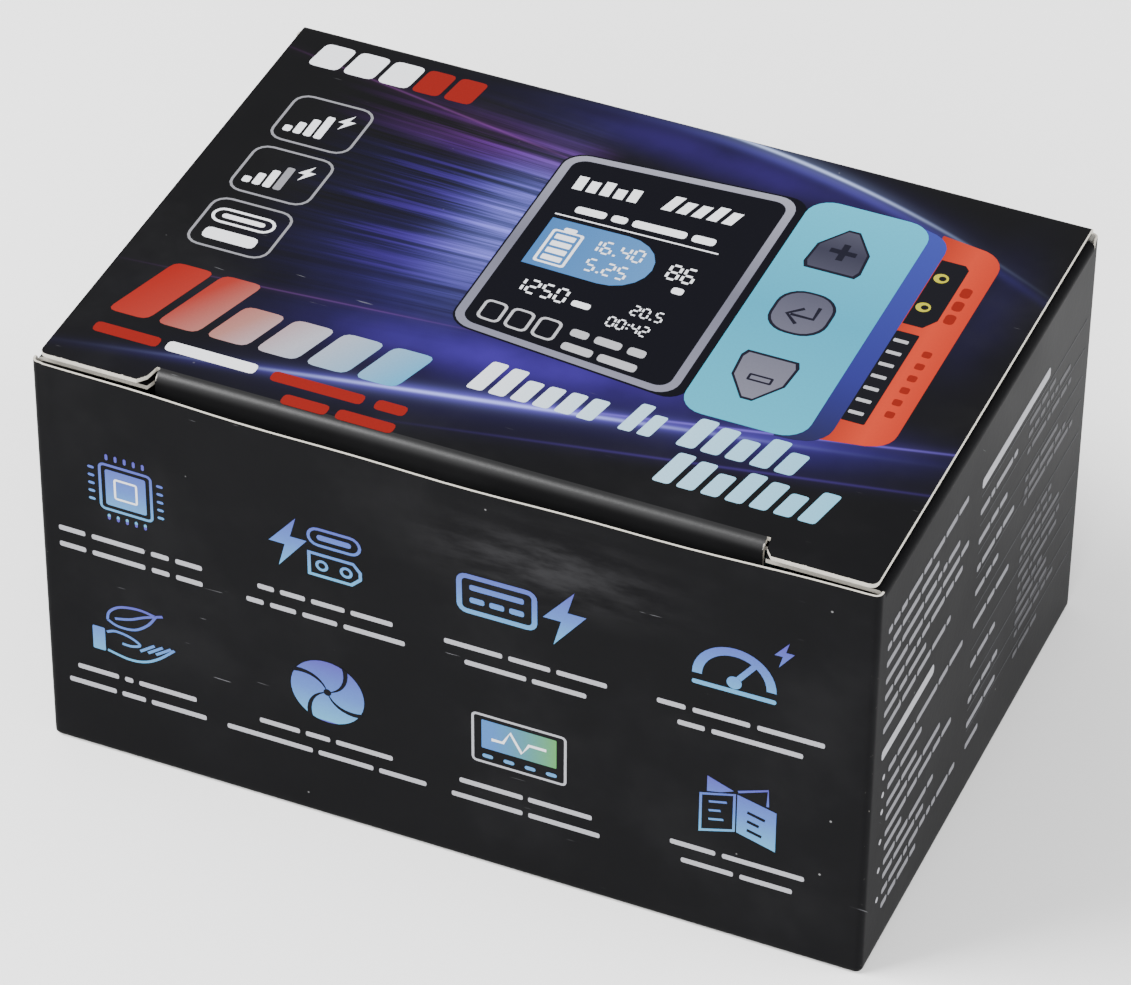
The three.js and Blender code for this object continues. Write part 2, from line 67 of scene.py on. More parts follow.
SLEEVE_LOW, SLEEVE_HIGH = box_mm("carton_sleeve")
LID_LOW, LID_HIGH = box_mm("lid_panel")
TUCK_LOW, TUCK_HIGH = box_mm("tuck_flap")
DUST_LOW, DUST_HIGH = box_mm("dust_flap_right")
HALF_W = SLEEVE_HIGH.x
HALF_D = SLEEVE_HIGH.y
WIDTH = 2 * HALF_W
DEPTH = 2 * HALF_D
BOARD = LID_HIGH.z - LID_LOW.z
LID_TOP = LID_HIGH.z
SIDE_WALL_TOP = DUST_LOW.z - 0.5
CORNER = 0.9  # radius of the sleeve's upright creases
CREASE = 1.1  # radius of the lid's and the dust flaps' creases
BOW = 1.3  # how far the front wall bulges at the middle of its top edge
SHOULDER = 15.0  # length of the lid's shoulders, beside the tuck
LID_GAP = 0.9  # between the lid and the sleeve's outside, on each side
INK = 0.03  # how far the first layer of print stands out
SUNK = -0.02  # where a layer of print starts, a little inside the board
LETTER = 0.72  # width of a greeked letter, as a share of its height
WORD_GAP = 0.75  # room between two greeked words, in letters
PICTURE_WIDE = 33.0  # the display's picture, in its own units
PICTURE_HIGH = 42.6
NAME_LOW = 34.6  # foot of the two rows of bars at the picture's top
DEVICE_LEFT = 45.5  # left edge of the printed device, from the lid's left edge


def bow(x, z):
    """How far the front wall bulges outwards at that place."""
    across = math.cos(math.pi * min(1, abs(x) / HALF_W) / 2)
    return BOW * across * (max(z, 0) / LID_TOP) ** 2


# ---------------------------------------------------------------- material nodes


class Graph:
    """A material's node tree, with short calls for the nodes used here. Places are in millimetres.

    flat is for the board that bends: its places are the ones it had with the carton closed.
    """

    def __init__(self, name, flat=False):
        self.material = bpy.data.materials.new(name)
        self.material.use_nodes = True
        self.tree = self.material.node_tree
        self.shader = self.tree.nodes["Principled BSDF"]
        if flat:
            self.place = self.node("Attribute", attribute_name="place").outputs["Vector"]
        else:
            coordinates = self.node("TexCoord")
            scaled = self.node("VectorMath", operation="SCALE")
            self.put(scaled.inputs[0], coordinates.outputs["Object"])
            scaled.inputs["Scale"].default_value = 1000
            self.place = scaled.outputs[0]
        parts = self.node("SeparateXYZ")
        self.put(parts.inputs[0], self.place)
        self.x, self.y, self.z = parts.outputs

    def node(self, kind, **settings):
        made = self.tree.nodes.new("ShaderNode" + kind)
        for key, value in settings.items():
            setattr(made, key, value)
        return made

    def put(self, socket, value):
        """Links an output to an input socket, or sets the socket's own value."""
        if isinstance(value, bpy.types.NodeSocket):
            self.tree.links.new(value, socket)
        else:
            socket.default_value = value

    def math(self, operation, *values, clamp=False):
        made = self.node("Math", operation=operation, use_clamp=clamp)
        for socket, value in zip(made.inputs, values):
            self.put(socket, value)
        return made.outputs[0]

    def minus(self, first, second):
        return self.math("SUBTRACT", first, second)

    def linear(self, value, scale, offset):
        """value * scale + offset."""
        return self.math("MULTIPLY_ADD", value, scale, offset)

    def gloss(self, level):
        """Sets how much light the surface mirrors."""
        self.shader.inputs["Specular IOR Level"].default_value = level

    def total(self, *values):
        result = values[0]
        for value in values[1:]:
            result = self.math("ADD", result, value)
        return result

    def product(self, *values):
        result = values[0]
        for value in values[1:]:
            result = self.math("MULTIPLY", result, value)
        return result

    def fade(self, value, start, end):
        """0 at start and 1 at end, smoothly."""
        made = self.node("MapRange", interpolation_type="SMOOTHSTEP")
        self.put(made.inputs["Value"], value)
        low, high = min(start, end), max(start, end)
        made.inputs["From Min"].default_value = low
        made.inputs["From Max"].default_value = high
        made.inputs["To Min"].default_value = 0.0 if start < end else 1.0
        made.inputs["To Max"].default_value = 1.0 if start < end else 0.0
        return made.outputs[0]

    def bell(self, value, width):
        """1 where the value is 0, falling to nothing over a few widths."""
        share = self.math("DIVIDE", value, width)
        return self.math("EXPONENT", self.math("MULTIPLY", self.math("MULTIPLY", share, share), -1.0))

    def mix(self, factor, first, second, blend="MIX"):
        made = self.node("Mix", data_type="RGBA", blend_type=blend)
        self.put(made.inputs[0], factor)
        self.put(made.inputs[6], first)
        self.put(made.inputs[7], second)
        return made.outputs[2]

    def stretch(self, sx, sy, sz):
        """The place, scaled along each axis."""
        made = self.node("VectorMath", operation="MULTIPLY")
        self.put(made.inputs[0], self.place)
        made.inputs[1].default_value = (sx, sy, sz)
        return made.outputs[0]

    def vector(self, x, y, z):
        made = self.node("CombineXYZ")
        for socket, value in zip(made.inputs, (x, y, z)):
            self.put(socket, value)
        return made.outputs[0]

    def noise(self, scale, detail=2.0, rough=0.5, place=None):
        """Noise about 0.5. scale is in cycles for each millimetre."""
        made = self.node("TexNoise")
        self.put(made.inputs["Vector"], place or self.place)
        made.inputs["Scale"].default_value = scale
        made.inputs["Detail"].default_value = detail
        made.inputs["Roughness"].default_value = rough
        return made.outputs[0]

    def cells(self, scale, feature="F1", place=None):
        made = self.node("TexVoronoi", feature=feature)
        self.put(made.inputs["Vector"], place or self.place)
        made.inputs["Scale"].default_value = scale
        return made.outputs["Distance"]

    def ramp(self, value, stops):
        made = self.node("ValToRGB")
        elements = made.color_ramp.elements
        while len(elements) < len(stops):
            elements.new(0.5)
        for element, (position, colour) in zip(elements, stops):
            element.position = position
            element.color = (*colour, 1)
        self.put(made.inputs[0], value)
        return made.outputs[0]

    def varied(self, colour, amount, scale=0.12):
        """The colour, a little lighter and darker from place to place."""
        dark = [c * (1 - amount) for c in colour]
        light = [min(1, c * (1 + amount)) for c in colour]
        return self.mix(self.noise(scale, 4.0), (*dark, 1), (*light, 1))

    def surface(self, colour, roughness, metallic=0.0, grain=None, depth=0.02):
        """Sets the shader. grain is a height socket, and depth is how deep it is in millimetres."""
        self.put(self.shader.inputs["Base Color"], colour)
        self.put(self.shader.inputs["Roughness"], roughness)
        self.put(self.shader.inputs["Metallic"], metallic)
        if grain is not None:
            bump = self.node("Bump")
            bump.inputs["Strength"].default_value = 1.0
            bump.inputs["Distance"].default_value = depth / 1000
            self.put(bump.inputs["Height"], grain)
            self.put(self.shader.inputs["Normal"], bump.outputs[0])
        return self.material


def rough_about(graph, middle, spread, scale=0.4):
    """A roughness that varies a little from place to place."""
    return graph.linear(graph.noise(scale, 3.0), spread * 2, middle - spread)


def plain_material(name, colour, roughness, metallic=0.0, variation=0.12, grain=2.5, depth=0.01, gloss=0.1):
    """A moulded or coated surface: slight colour variation, uneven gloss and a fine grain."""
    graph = Graph(name)
    graph.gloss(gloss)
    grain_height = graph.noise(grain, 3.0)
    return graph.surface(
        graph.varied(colour, variation), rough_about(graph, roughness, 0.06), metallic, grain_height, depth)


# ---------------------------------------------------------------- outlines, as lists of (u, v)


def arc(cu, cv, radius, start, end, steps):
    """Points on an arc, in degrees."""
    angles = [math.radians(start + (end - start) * n / steps) for n in range(steps + 1)]
    return [(cu + radius * math.cos(a), cv + radius * math.sin(a)) for a in angles]


def rounded(u0, v0, u1, v1, radius, steps=4):
    """A rectangle with round corners, anticlockwise."""
    radius = min(radius, (u1 - u0) / 2 - 1e-4, (v1 - v0) / 2 - 1e-4)
    corners = [
        (u1 - radius, v0 + radius, -90),
        (u1 - radius, v1 - radius, 0),
        (u0 + radius, v1 - radius, 90),
        (u0 + radius, v0 + radius, 180),
    ]
    points = []
    for cu, cv, start in corners:
        points += arc(cu, cv, radius, start, start + 90, steps)
    return points


def disc(cu, cv, radius, steps=28):
    return arc(cu, cv, radius, 0, 360 * (steps - 1) / steps, steps - 1)


def moved(points, du, dv, scale=1.0):
    return [(u * scale + du, v * scale + dv) for u, v in points]


def stroked(points, width):
    """The outline of a line of that width through the points."""
    left, right = [], []
    for n, (u, v) in enumerate(points):
        before = points[max(n - 1, 0)]
        after = points[min(n + 1, len(points) - 1)]
        du, dv = after[0] - before[0], after[1] - before[1]
        length = math.hypot(du, dv) or 1.0
        nu, nv = -dv / length * width / 2, du / length * width / 2
        left.append((u + nu, v + nv))
        right.append((u - nu, v - nv))
    return right + left[::-1]


def plus_outline(cu, cv, reach, width):
    """A plus sign's outline, anticlockwise."""
    a, b = width / 2, reach
    corners = [(a, -b), (a, -a), (b, -a), (b, a), (a, a), (a, b), (-a, b), (-a, a), (-b, a), (-b, -a),
               (-a, -a), (-a, -b)]
    return moved(corners, cu, cv)


def curve(points, count=5):
    """A smooth line through the points."""
    result = []
    for n in range(len(points) - 1):
        p0, p1, p2, p3 = (Vector(points[max(0, min(len(points) - 1, n + k))]) for k in (-1, 0, 1, 2))
        for k in range(count):
            t = k / count
            point = 0.5 * (2 * p1 + (p2 - p0) * t + (2 * p0 - 5 * p1 + 4 * p2 - p3) * t ** 2
                           + (3 * p1 - p0 - 3 * p2 + p3) * t ** 3)
            result.append((point.x, point.y))
    return [*result, points[-1]]


def grown(outline, distance):
    """The outline, pushed outwards by that distance."""
    result = []
    count = len(outline)
    for n in range(count):
        here = Vector(outline[n])
        first = (here - Vector(outline[n - 1])).normalized()
        second = (Vector(outline[(n + 1) % count]) - here).normalized()
        out = Vector((first.y + second.y, -first.x - second.x)).normalized()
        reach = distance / max(0.5, out.dot(Vector((first.y, -first.x))))
        result.append((here.x + out.x * reach, here.y + out.y * reach))
    return result


def softened(outline, radius, count=5):
    """The outline, with each corner drawn as a small curve."""
    result = []
    size = len(outline)
    for n in range(size):
        here = Vector(outline[n])
        before = Vector(outline[n - 1]) - here
        after = Vector(outline[(n + 1) % size]) - here
        start = here + before.normalized() * min(radius, before.length * 0.45)
        end = here + after.normalized() * min(radius, after.length * 0.45)
        for k in range(count + 1):
            share = k / count
            point = start * (1 - share) ** 2 + here * 2 * share * (1 - share) + end * share ** 2
            result.append((point.x, point.y))
    return result


BOLT = [(0.15, 0.5), (-0.3, -0.06), (-0.04, -0.06), (-0.15, -0.5), (0.32, 0.12), (0.05, 0.12)]
HOUSE = [(-0.44, -0.5), (0.44, -0.5), (0.5, -0.38), (0.46, 0.05), (0.1, 0.48), (-0.1, 0.48), (-0.46, 0.05),
         (-0.5, -0.38)]


def bolt(cu, cv, height):
    """A lightning bolt's outline, anticlockwise."""
    return moved(BOLT, cu, cv, height)


def house(cu, cv, width, height, up=True):
    """A house shape, or one upside down."""
    sign = 1 if up else -1
    points = [(cu + u * width, cv + sign * v * height) for u, v in HOUSE]
    return points if up else points[::-1]


# ---------------------------------------------------------------- meshes


class Mesh:
    """Collects points in millimetres, and faces with a material slot and a wear value at each point."""

    def __init__(self):
        self.points = []
        self.wear = []
        self.faces = []
        self.slots = []

    def point(self, place, wear=0.0):
        self.points.append(place)
        self.wear.append(wear)
        return len(self.points) - 1

    def face(self, indices, slot=0):
        self.faces.append(indices)
        self.slots.append(slot)

    def plate(self, outline, place, low, high, slot=0):
        """A closed plate over an outline, from height low to high over the face that place stands for."""
        count = len(outline)
        under = [self.point(place(u, v, low)) for u, v in outline]
        over = [self.point(place(u, v, high)) for u, v in outline]
        self.face(over, slot)
        self.face(under[::-1], slot)
        for n in range(count):
            after = (n + 1) % count
            self.face([under[n], under[after], over[after], over[n]], slot)

    def band(self, outer, inner, place, low, high, slot=0):
        """A closed ring between two outlines that have as many points as each other."""
        count = len(outer)
        loops = []
        for outline in (outer, inner):
            for height in (low, high):
                loops.append([self.point(place(u, v, height)) for u, v in outline])
        out_low, out_high, in_low, in_high = loops
        for n in range(count):
            after = (n + 1) % count
            self.face([out_high[n], out_high[after], in_high[after], in_high[n]], slot)
            self.face([out_low[after], out_low[n], in_low[n], in_low[after]], slot)
            self.face([out_low[n], out_low[after], out_high[after], out_high[n]], slot)
            self.face([in_low[after], in_low[n], in_high[n], in_high[after]], slot)

    def sheet(self, grid, closed=False):
        """Board of a grid of (outer point, inner point, wear).

        Slot 0 is the outside, 1 the inside and 2 the cut edge.
        """
        rows = [[(self.point(o, w), self.point(i, w)) for o, i, w in row] for row in grid]
        count = len(rows)
        last = count if closed else count - 1
        for a in range(last):
            b = (a + 1) % count
            for n in range(len(rows[a]) - 1):
                self.face([rows[a][n][0], rows[b][n][0], rows[b][n + 1][0], rows[a][n + 1][0]], 0)
                self.face([rows[a][n + 1][1], rows[b][n + 1][1], rows[b][n][1], rows[a][n][1]], 1)
            for end in (0, -1):
                self.face([rows[a][end][0], rows[b][end][0], rows[b][end][1], rows[a][end][1]], 2)
        if not closed:
            for row in (rows[0], rows[-1]):
                for n in range(len(row) - 1):
                    self.face([row[n][0], row[n + 1][0], row[n + 1][1], row[n][1]], 2)

    def build(self, name, materials, smooth=35):
        """The Blender object. smooth is the sharpest angle, in degrees, that is shaded as one surface."""
        data = bpy.data.meshes.new(name)
        data.from_pydata([(x / 1000, y / 1000, z / 1000) for x, y, z in self.points], [], self.faces)
        for polygon, slot in zip(data.polygons, self.slots):
            polygon.material_index = slot
        data.attributes.new("wear", "FLOAT", "POINT").data.foreach_set("value", self.wear)
        flat = [value for place in self.points for value in place]
        data.attributes.new("place", "FLOAT_VECTOR", "POINT").data.foreach_set("vector", flat)
        made = bmesh.new()
        made.from_mesh(data)
        bmesh.ops.remove_doubles(made, verts=made.verts, dist=1e-7)
        bmesh.ops.recalc_face_normals(made, faces=made.faces)
        made.to_mesh(data)
        made.free()
        for each in materials:
            data.materials.append(each)
        piece = bpy.data.objects.new(name, data)
        bpy.context.scene.collection.objects.link(piece)
        if smooth:
            data.shade_smooth()
            data.set_sharp_from_angle(angle=math.radians(smooth))
        return piece


def refined(node, body, material, bevel=0.3, segments=3, angle=28, weigh=None):
    """A copy of a CAD node with its edges rounded. It stands for the node.

    weigh, if given, takes an edge's middle and gives its share of the bevel's width.
    """
    data = nodes[node].data.copy()
    data.materials.clear()
    data.materials.append(material)
    made = bmesh.new()
    made.from_mesh(data)
    bmesh.ops.remove_doubles(made, verts=made.verts, dist=2e-6)
    bmesh.ops.dissolve_limit(made, angle_limit=math.radians(1), verts=made.verts, edges=made.edges)
    if weigh:
        weights = made.edges.layers.float.new("bevel_weight_edge")
        for edge in made.edges:
            if edge.calc_face_angle(0.0) > math.radians(angle):
                edge[weights] = weigh((edge.verts[0].co + edge.verts[1].co) * 500)
    made.to_mesh(data)
    made.free()
    piece = bpy.data.objects.new(node + "_piece", data)
    bpy.context.scene.collection.objects.link(piece)
    edges = piece.modifiers.new("edges", "BEVEL")
    edges.width = bevel / 1000
    edges.segments = segments
    edges.limit_method = "WEIGHT" if weigh else "ANGLE"
    edges.angle_limit = math.radians(angle)
    edges.use_clamp_overlap = True
    data.shade_smooth()
    piece.modifiers.new("shading", "WEIGHTED_NORMAL")
    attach(piece, body)
    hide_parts(node)
    return piece


def facing_up(x, y, z):
    """A function that places (u, v, h) on a level face at z, about x, y."""
    return lambda u, v, h: (x + u, y + v, z + h)


def stands_for(piece, node, body):
    """The piece rides on the body and takes the CAD node's place."""
    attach(piece, body)
    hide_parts(node)


# ---------------------------------------------------------------- materials of the carton

BLACK = (0.0052, 0.0052, 0.0057)
FILM_GLOSS = 0.015  # specular level of the film over the print
GLOW = 0.4  # how strong the light in the lid's picture is


def worn(graph, colour):
    """The colour, with the pale core of the board showing through where the piece is worn."""
    wear = graph.node("Attribute", attribute_name="wear").outputs["Fac"]
    rub = graph.math("MULTIPLY", wear, graph.noise(1.4, 6.0, 0.65))
    share = graph.fade(rub, 0.47, 0.56)
    core = graph.varied((0.42, 0.4, 0.36), 0.15, 2.0)
    return graph.mix(share, colour, core)


def dusty(graph, colour):
    """The colour, with a faint haze of handling, hairline scratches and specks of dust."""
    haze = graph.fade(graph.noise(0.035, 5.0, 0.6), 0.48, 0.75)
    colour = graph.mix(graph.product(haze, 0.009), colour, (0.35, 0.35, 0.37, 1))
    on_front_wall = graph.fade(graph.y, -39.0, -39.4)
    near_top = graph.product(graph.bell(graph.math("ADD", graph.x, -14.0), 13.0),
                             graph.bell(graph.math("ADD", graph.z, -53.5), 5.0))
    rubbed = graph.fade(graph.noise(0.3, 4.0, 0.65, graph.stretch(0.35, 1.0, 1.3)), 0.35, 0.7)
    colour = graph.mix(graph.product(on_front_wall, near_top, rubbed, 0.045), colour, (0.35, 0.35, 0.37, 1))
    lean = graph.vector(
        graph.math("ADD", graph.x, graph.product(graph.z, 0.5)),
        graph.product(graph.math("ADD", graph.y, graph.z), 14.0),
        graph.z)
    line = graph.fade(graph.noise(0.16, 2.0, 0.5, lean), 0.735, 0.775)
    patch = graph.fade(graph.noise(0.05, 2.0), 0.52, 0.68)
    colour = graph.mix(graph.product(line, patch, 0.35), colour, (0.32, 0.32, 0.34, 1))
    speck = graph.product(graph.fade(graph.cells(0.21), 0.045, 0.02),
                          graph.fade(graph.noise(0.11, 1.0), 0.5, 0.56))
    return graph.mix(graph.product(speck, 0.35), colour, (0.4, 0.4, 0.4, 1))


def laminate(name, picture=None, gloss=FILM_GLOSS):
    """Board printed black under a matt film. picture adds its print to the ground colour."""
    graph = Graph(name, flat=True)
    ground = graph.varied(BLACK, 0.14, 0.09)
    if picture:
        ground = picture(graph, ground)
    colour = worn(graph, dusty(graph, ground))
    grain = graph.total(graph.noise(1.1, 3.0), graph.product(graph.noise(0.05, 2.0), 3.0))
    graph.gloss(gloss)
    return graph.surface(colour, rough_about(graph, 0.4, 0.05, 0.05), 0.0, grain, 0.012)


def glow_line(graph, x0, y0, slope, droop, width, peak, reach, colour):
    """A streak of light on the lid, brightest at x = peak.

    Its line is y = y0 + slope * (x - x0) - droop * (x - x0)^2.
    """
    across = graph.minus(graph.x, x0)
    height = graph.total(graph.product(across, slope), graph.product(across, across, -droop), y0)
    core = graph.bell(graph.minus(graph.y, height), width)
    halo = graph.bell(graph.minus(graph.y, height), width * 5)
    along = graph.bell(graph.minus(graph.x, peak), reach)
    amount = graph.math("MULTIPLY", graph.linear(halo, 0.12, core), along)
    return graph.mix(amount, (0, 0, 0, 1), (*colour, 1))


def light_show(graph, ground):
    """The lid's picture: a fan of violet streaks beside the device, and two long lines of light."""
    left = DEVICE_LEFT - HALF_W
    middle = 48.5 - HALF_D
    back = graph.minus(left, graph.x)
    spread = graph.linear(back, 0.004, 1.0)
    row = graph.math("DIVIDE", graph.minus(graph.y, middle), spread)
    streaks = graph.noise(1.0, 5.0, 0.7,
                          graph.vector(graph.product(graph.x, 0.009), graph.product(row, 0.5), 0.0))
    streaks = graph.fade(streaks, 0.32, 0.7)
    depth = graph.math("MULTIPLY", graph.fade(back, 36.0, 2.0), graph.fade(back, -8.0, -2.0))
    window = graph.bell(row, 17.0)

    def add(total, amount, colour):
        return graph.mix(GLOW, total, graph.mix(amount, (0, 0, 0, 1), (*colour, 1)), "ADD")

    fan = graph.ramp(graph.product(streaks, depth, window), [
        (0.0, (0.0, 0.0, 0.0)), (0.2, (0.004, 0.002, 0.03)), (0.6, (0.05, 0.016, 0.27)),
        (1.0, (0.13, 0.07, 0.62))])
    total = graph.mix(GLOW, ground, fan, "ADD")
    near = graph.product(graph.bell(back, 7.0), graph.bell(row, 12.0), graph.fade(back, -6.0, 0.0))
    total = add(total, graph.product(near, graph.linear(streaks, 0.85, 0.15)), (0.26, 0.3, 1.0))
    pink = graph.product(graph.bell(graph.minus(row, 16.5), 4.0), depth, streaks)
    total = add(total, pink, (0.13, 0.012, 0.19))

    def cloud(u, v, reach_u, reach_v, lean, colour):
        """A soft patch of light about u, v, that leans by lean."""
        across = graph.minus(graph.x, u - HALF_W)
        height = graph.minus(graph.minus(graph.y, v - HALF_D), graph.product(across, lean))
        mottle = graph.linear(graph.noise(0.09, 3.0), 0.9, 0.15)
        return graph.product(graph.bell(across, reach_u), graph.bell(height, reach_v), mottle), colour

    clouds = [
        cloud(66, 73.5, 20, 3.6, -0.1, (0.035, 0.012, 0.2)),
        cloud(38, 33, 13, 11, 0.0, (0.012, 0.006, 0.08)),
        cloud(58, 23.5, 22, 4.2, 0.1, (0.075, 0.028, 0.46)),
        cloud(94, 21.5, 14, 4.0, 0.2, (0.03, 0.014, 0.2)),
        cloud(108, 56, 4, 12, 0.0, (0.008, 0.004, 0.05)),
    ]
    for amount, colour in clouds:
        total = add(total, amount, colour)
    lines = [
        (48, 80.4, 0.0, 0.0040, 0.32, 74, 19, (0.5, 0.62, 1.0)),
        (48, 78.6, 0.02, 0.0042, 0.9, 80, 24, (0.03, 0.02, 0.18)),
        (8, 5.2, 0.19, 0.0, 0.34, 56, 24, (0.42, 0.5, 1.0)),
        (8, 5.0, 0.196, 0.0, 1.0, 60, 30, (0.07, 0.035, 0.42)),
        (8, 3.4, 0.232, 0.0, 0.22, 92, 26, (0.14, 0.09, 0.5)),
        (60, 8.5, 0.20, 0.0, 0.25, 90, 30, (0.03, 0.014, 0.12)),
        (0, 74.5, -0.185, 0.0, 0.2, 26, 18, (0.09, 0.02, 0.11)),
        (0, 22.5, 0.09, 0.0, 0.15, 30, 18, (0.07, 0.02, 0.1)),
    ]
    for x0, y0, slope, droop, width, peak, reach, colour in lines:
        line = glow_line(graph, x0 - HALF_W, y0 - HALF_D, slope, droop, width, peak - HALF_W, reach, colour)
        total = graph.mix(GLOW, total, line, "ADD")
    return total


def bare_board(name, colour, variation=0.1):
    """Unprinted board: soft fibres and small specks."""
    graph = Graph(name, flat=True)
    fibres = graph.noise(1.0, 4.0, 0.6, graph.stretch(0.9, 0.25, 0.6))
    tint = graph.mix(fibres, (*[c * (1 - variation) for c in colour], 1),
                     (*[min(1, c * 1.06) for c in colour], 1))
    speck = graph.fade(graph.cells(0.7), 0.12, 0.06)
    tint = graph.mix(graph.product(speck, 0.25), tint, (0.3, 0.26, 0.2, 1))
    return graph.surface(tint, rough_about(graph, 0.85, 0.06), 0.0, fibres, 0.03)


def ink(name, colour, roughness=0.4):
    """Printing ink under the matt film, with a fine screen in it."""
    graph = Graph(name)
    screen = graph.noise(3.2, 2.0)
    tint = graph.mix(screen, (*[c * 0.9 for c in colour], 1), (*[min(1, c * 1.06) for c in colour], 1))
    graph.gloss(FILM_GLOSS)
    return graph.surface(tint, rough_about(graph, roughness, 0.05), 0.0, graph.noise(1.1, 3.0), 0.006)


def shaded_ink(name, value, stops, roughness=0.4):
    """Printing ink that shades from one colour to the next. value gives the ramp's input from the graph."""
    graph = Graph(name)
    tint = graph.ramp(value(graph), stops)
    tint = graph.mix(graph.product(graph.noise(3.2, 2.0), 0.14), tint, (0.02, 0.02, 0.025, 1))
    graph.gloss(FILM_GLOSS)
    return graph.surface(tint, rough_about(graph, roughness, 0.05), 0.0, graph.noise(1.1, 3.0), 0.006)


def span(axis, start, end, lean=0.0):
    """A function of a graph: 0 at start and 1 at end along the axis, leaning if asked."""

    def value(graph):
        along = {"x": graph.x, "y": graph.y, "z": graph.z}[axis]
        if lean:
            other = graph.y if axis == "x" else graph.x
            along = graph.linear(other, lean, along)
        made = graph.node("MapRange")
        graph.put(made.inputs["Value"], along)
        made.inputs["From Min"].default_value = start
        made.inputs["From Max"].default_value = end
        return made.outputs[0]

    return value


PRINTED = laminate("printed_board")
FOLDED = laminate("folded_board", gloss=0.3)
LID_PRINT = laminate("lid_print", light_show)
INSIDE = bare_board("board_inside", (0.36, 0.35, 0.325))
CUT = bare_board("board_edge", (0.5, 0.475, 0.42), 0.2)
BOARD_FACES = [PRINTED, INSIDE, CUT]

WHITE = ink("ink_white", (0.62, 0.63, 0.66))
GREY = ink("ink_grey", (0.16, 0.16, 0.175))
PALE_GREY = ink("ink_pale_grey", (0.28, 0.28, 0.3))
DIM = ink("ink_dim", (0.055, 0.055, 0.06))
RED = ink("ink_red", (0.15, 0.009, 0.007))
SCREEN_BLACK = ink("ink_screen_black", (0.004, 0.004, 0.006), 0.34)
RULE_BLACK = ink("ink_black", (0.006, 0.006, 0.008), 0.36)


# ---------------------------------------------------------------- the carton


def steps(low, high, count):
    return [low + (high - low) * n / count for n in range(count + 1)]


def smooth(value, start, end):
    share = max(0.0, min(1.0, (value - start) / (end - start)))
    return share * share * (3 - 2 * share)


def wave(x, z):
    """How far the front wall ripples outwards near its top, at that place."""
    return 0.12 * math.sin(x * 0.21 + 1.0) * smooth(z, 40, 63)


def sleeve_path():
    """Points round the sleeve, each with its outward direction and how near it is to an upright crease."""
    path = []
    corners = [(HALF_W, -HALF_D, -90), (HALF_W, HALF_D, 0), (-HALF_W, HALF_D, 90), (-HALF_W, -HALF_D, 180)]
    for cx, cy, start in corners:
        centre = (cx - math.copysign(CORNER, cx), cy - math.copysign(CORNER, cy))
        for n in range(7):
            angle = math.radians(start + 15 * n)
            out = (math.cos(angle), math.sin(angle))
            path.append((centre[0] + CORNER * out[0], centre[1] + CORNER * out[1], out, 0.7))
        angle = math.radians(start + 90)
        out = (round(math.cos(angle)), round(math.sin(angle)))
        first = path[-1][:2]
        along = (-out[1], out[0])
        length = (WIDTH if out[1] else DEPTH) - 2 * CORNER
        stops = [0.35, 0.9, 2.0, *steps(4.0, length - 4.0, 26), length - 2.0, length - 0.9, length - 0.35]
        for stop in stops:
            edge = min(stop, length - stop)
            wear = max(0.0, 0.7 - edge / 1.2)
            path.append((first[0] + along[0] * stop, first[1] + along[1] * stop, out, wear))
    return path


def carton_sleeve():
    """The four walls, with upright creases, a front wall that bulges and the board's cut edge on top."""
    grid = []
    for x, y, out, near in sleeve_path():
        side_wall = abs(y) < HALF_D - CORNER - 0.5 and abs(x) > HALF_W - 1
        top = SIDE_WALL_TOP if side_wall else SLEEVE_HIGH.z
        row = []
        foot = [0.0, 0.12, 0.35, 0.8, 1.6]
        for z in [*foot, *steps(4.0, top - 3.0, 14), top - 1.5, top - 0.7, top - 0.2, top]:
            push = bow(x, z) if y < -HALF_D + 0.5 else 0.0
            tuck_in = 0.5 - math.sqrt(max(0.0, 0.25 - (0.5 - min(z, 0.5)) ** 2)) if z < 0.5 else 0.0
            ripple = wave(x, z) if y < -HALF_D + 0.5 and near < 0.1 else 0.0
            reach = push + ripple - tuck_in
            outer = (x + out[0] * -tuck_in, y + out[1] * (reach if out[1] < -0.99 else -tuck_in), z)
            if y < -HALF_D + 0.5 and out[1] >= -0.99:
                outer = (outer[0], outer[1] - push, z)
            thick = BOARD - 0.3 * smooth(z, top - 0.8, top)
            inner = (outer[0] - out[0] * thick, outer[1] - out[1] * thick, z)
            ends = max(0.0, 1 - z / 0.8) * 0.9
            rim = max(0.0, 1 - (top - z) / 0.5) * 0.75
            row.append((outer, inner, max(near, ends, rim)))
        grid.append(row)
    mesh = Mesh()
    mesh.sheet(grid, closed=True)
    piece = mesh.build("carton_sleeve_board", BOARD_FACES, 50)
    stands_for(piece, "carton_sleeve", "carton")


def bottom_board():
    """The glued bottom, with the seam where its two flaps meet."""
    low, high = box_mm("bottom_panel")
    mesh = Mesh()
    place = facing_up(0.0, 0.0, low.z + 0.02)
    mesh.plate(rounded(low.x, low.y, high.x, -6.0, 0.4), place, 0.0, BOARD - 0.02)
    mesh.plate(rounded(low.x, -5.7, high.x, high.y, 0.4), place, 0.12, BOARD - 0.02)
    piece = mesh.build("bottom_flaps", [PRINTED])
    stands_for(piece, "bottom_panel", "carton")


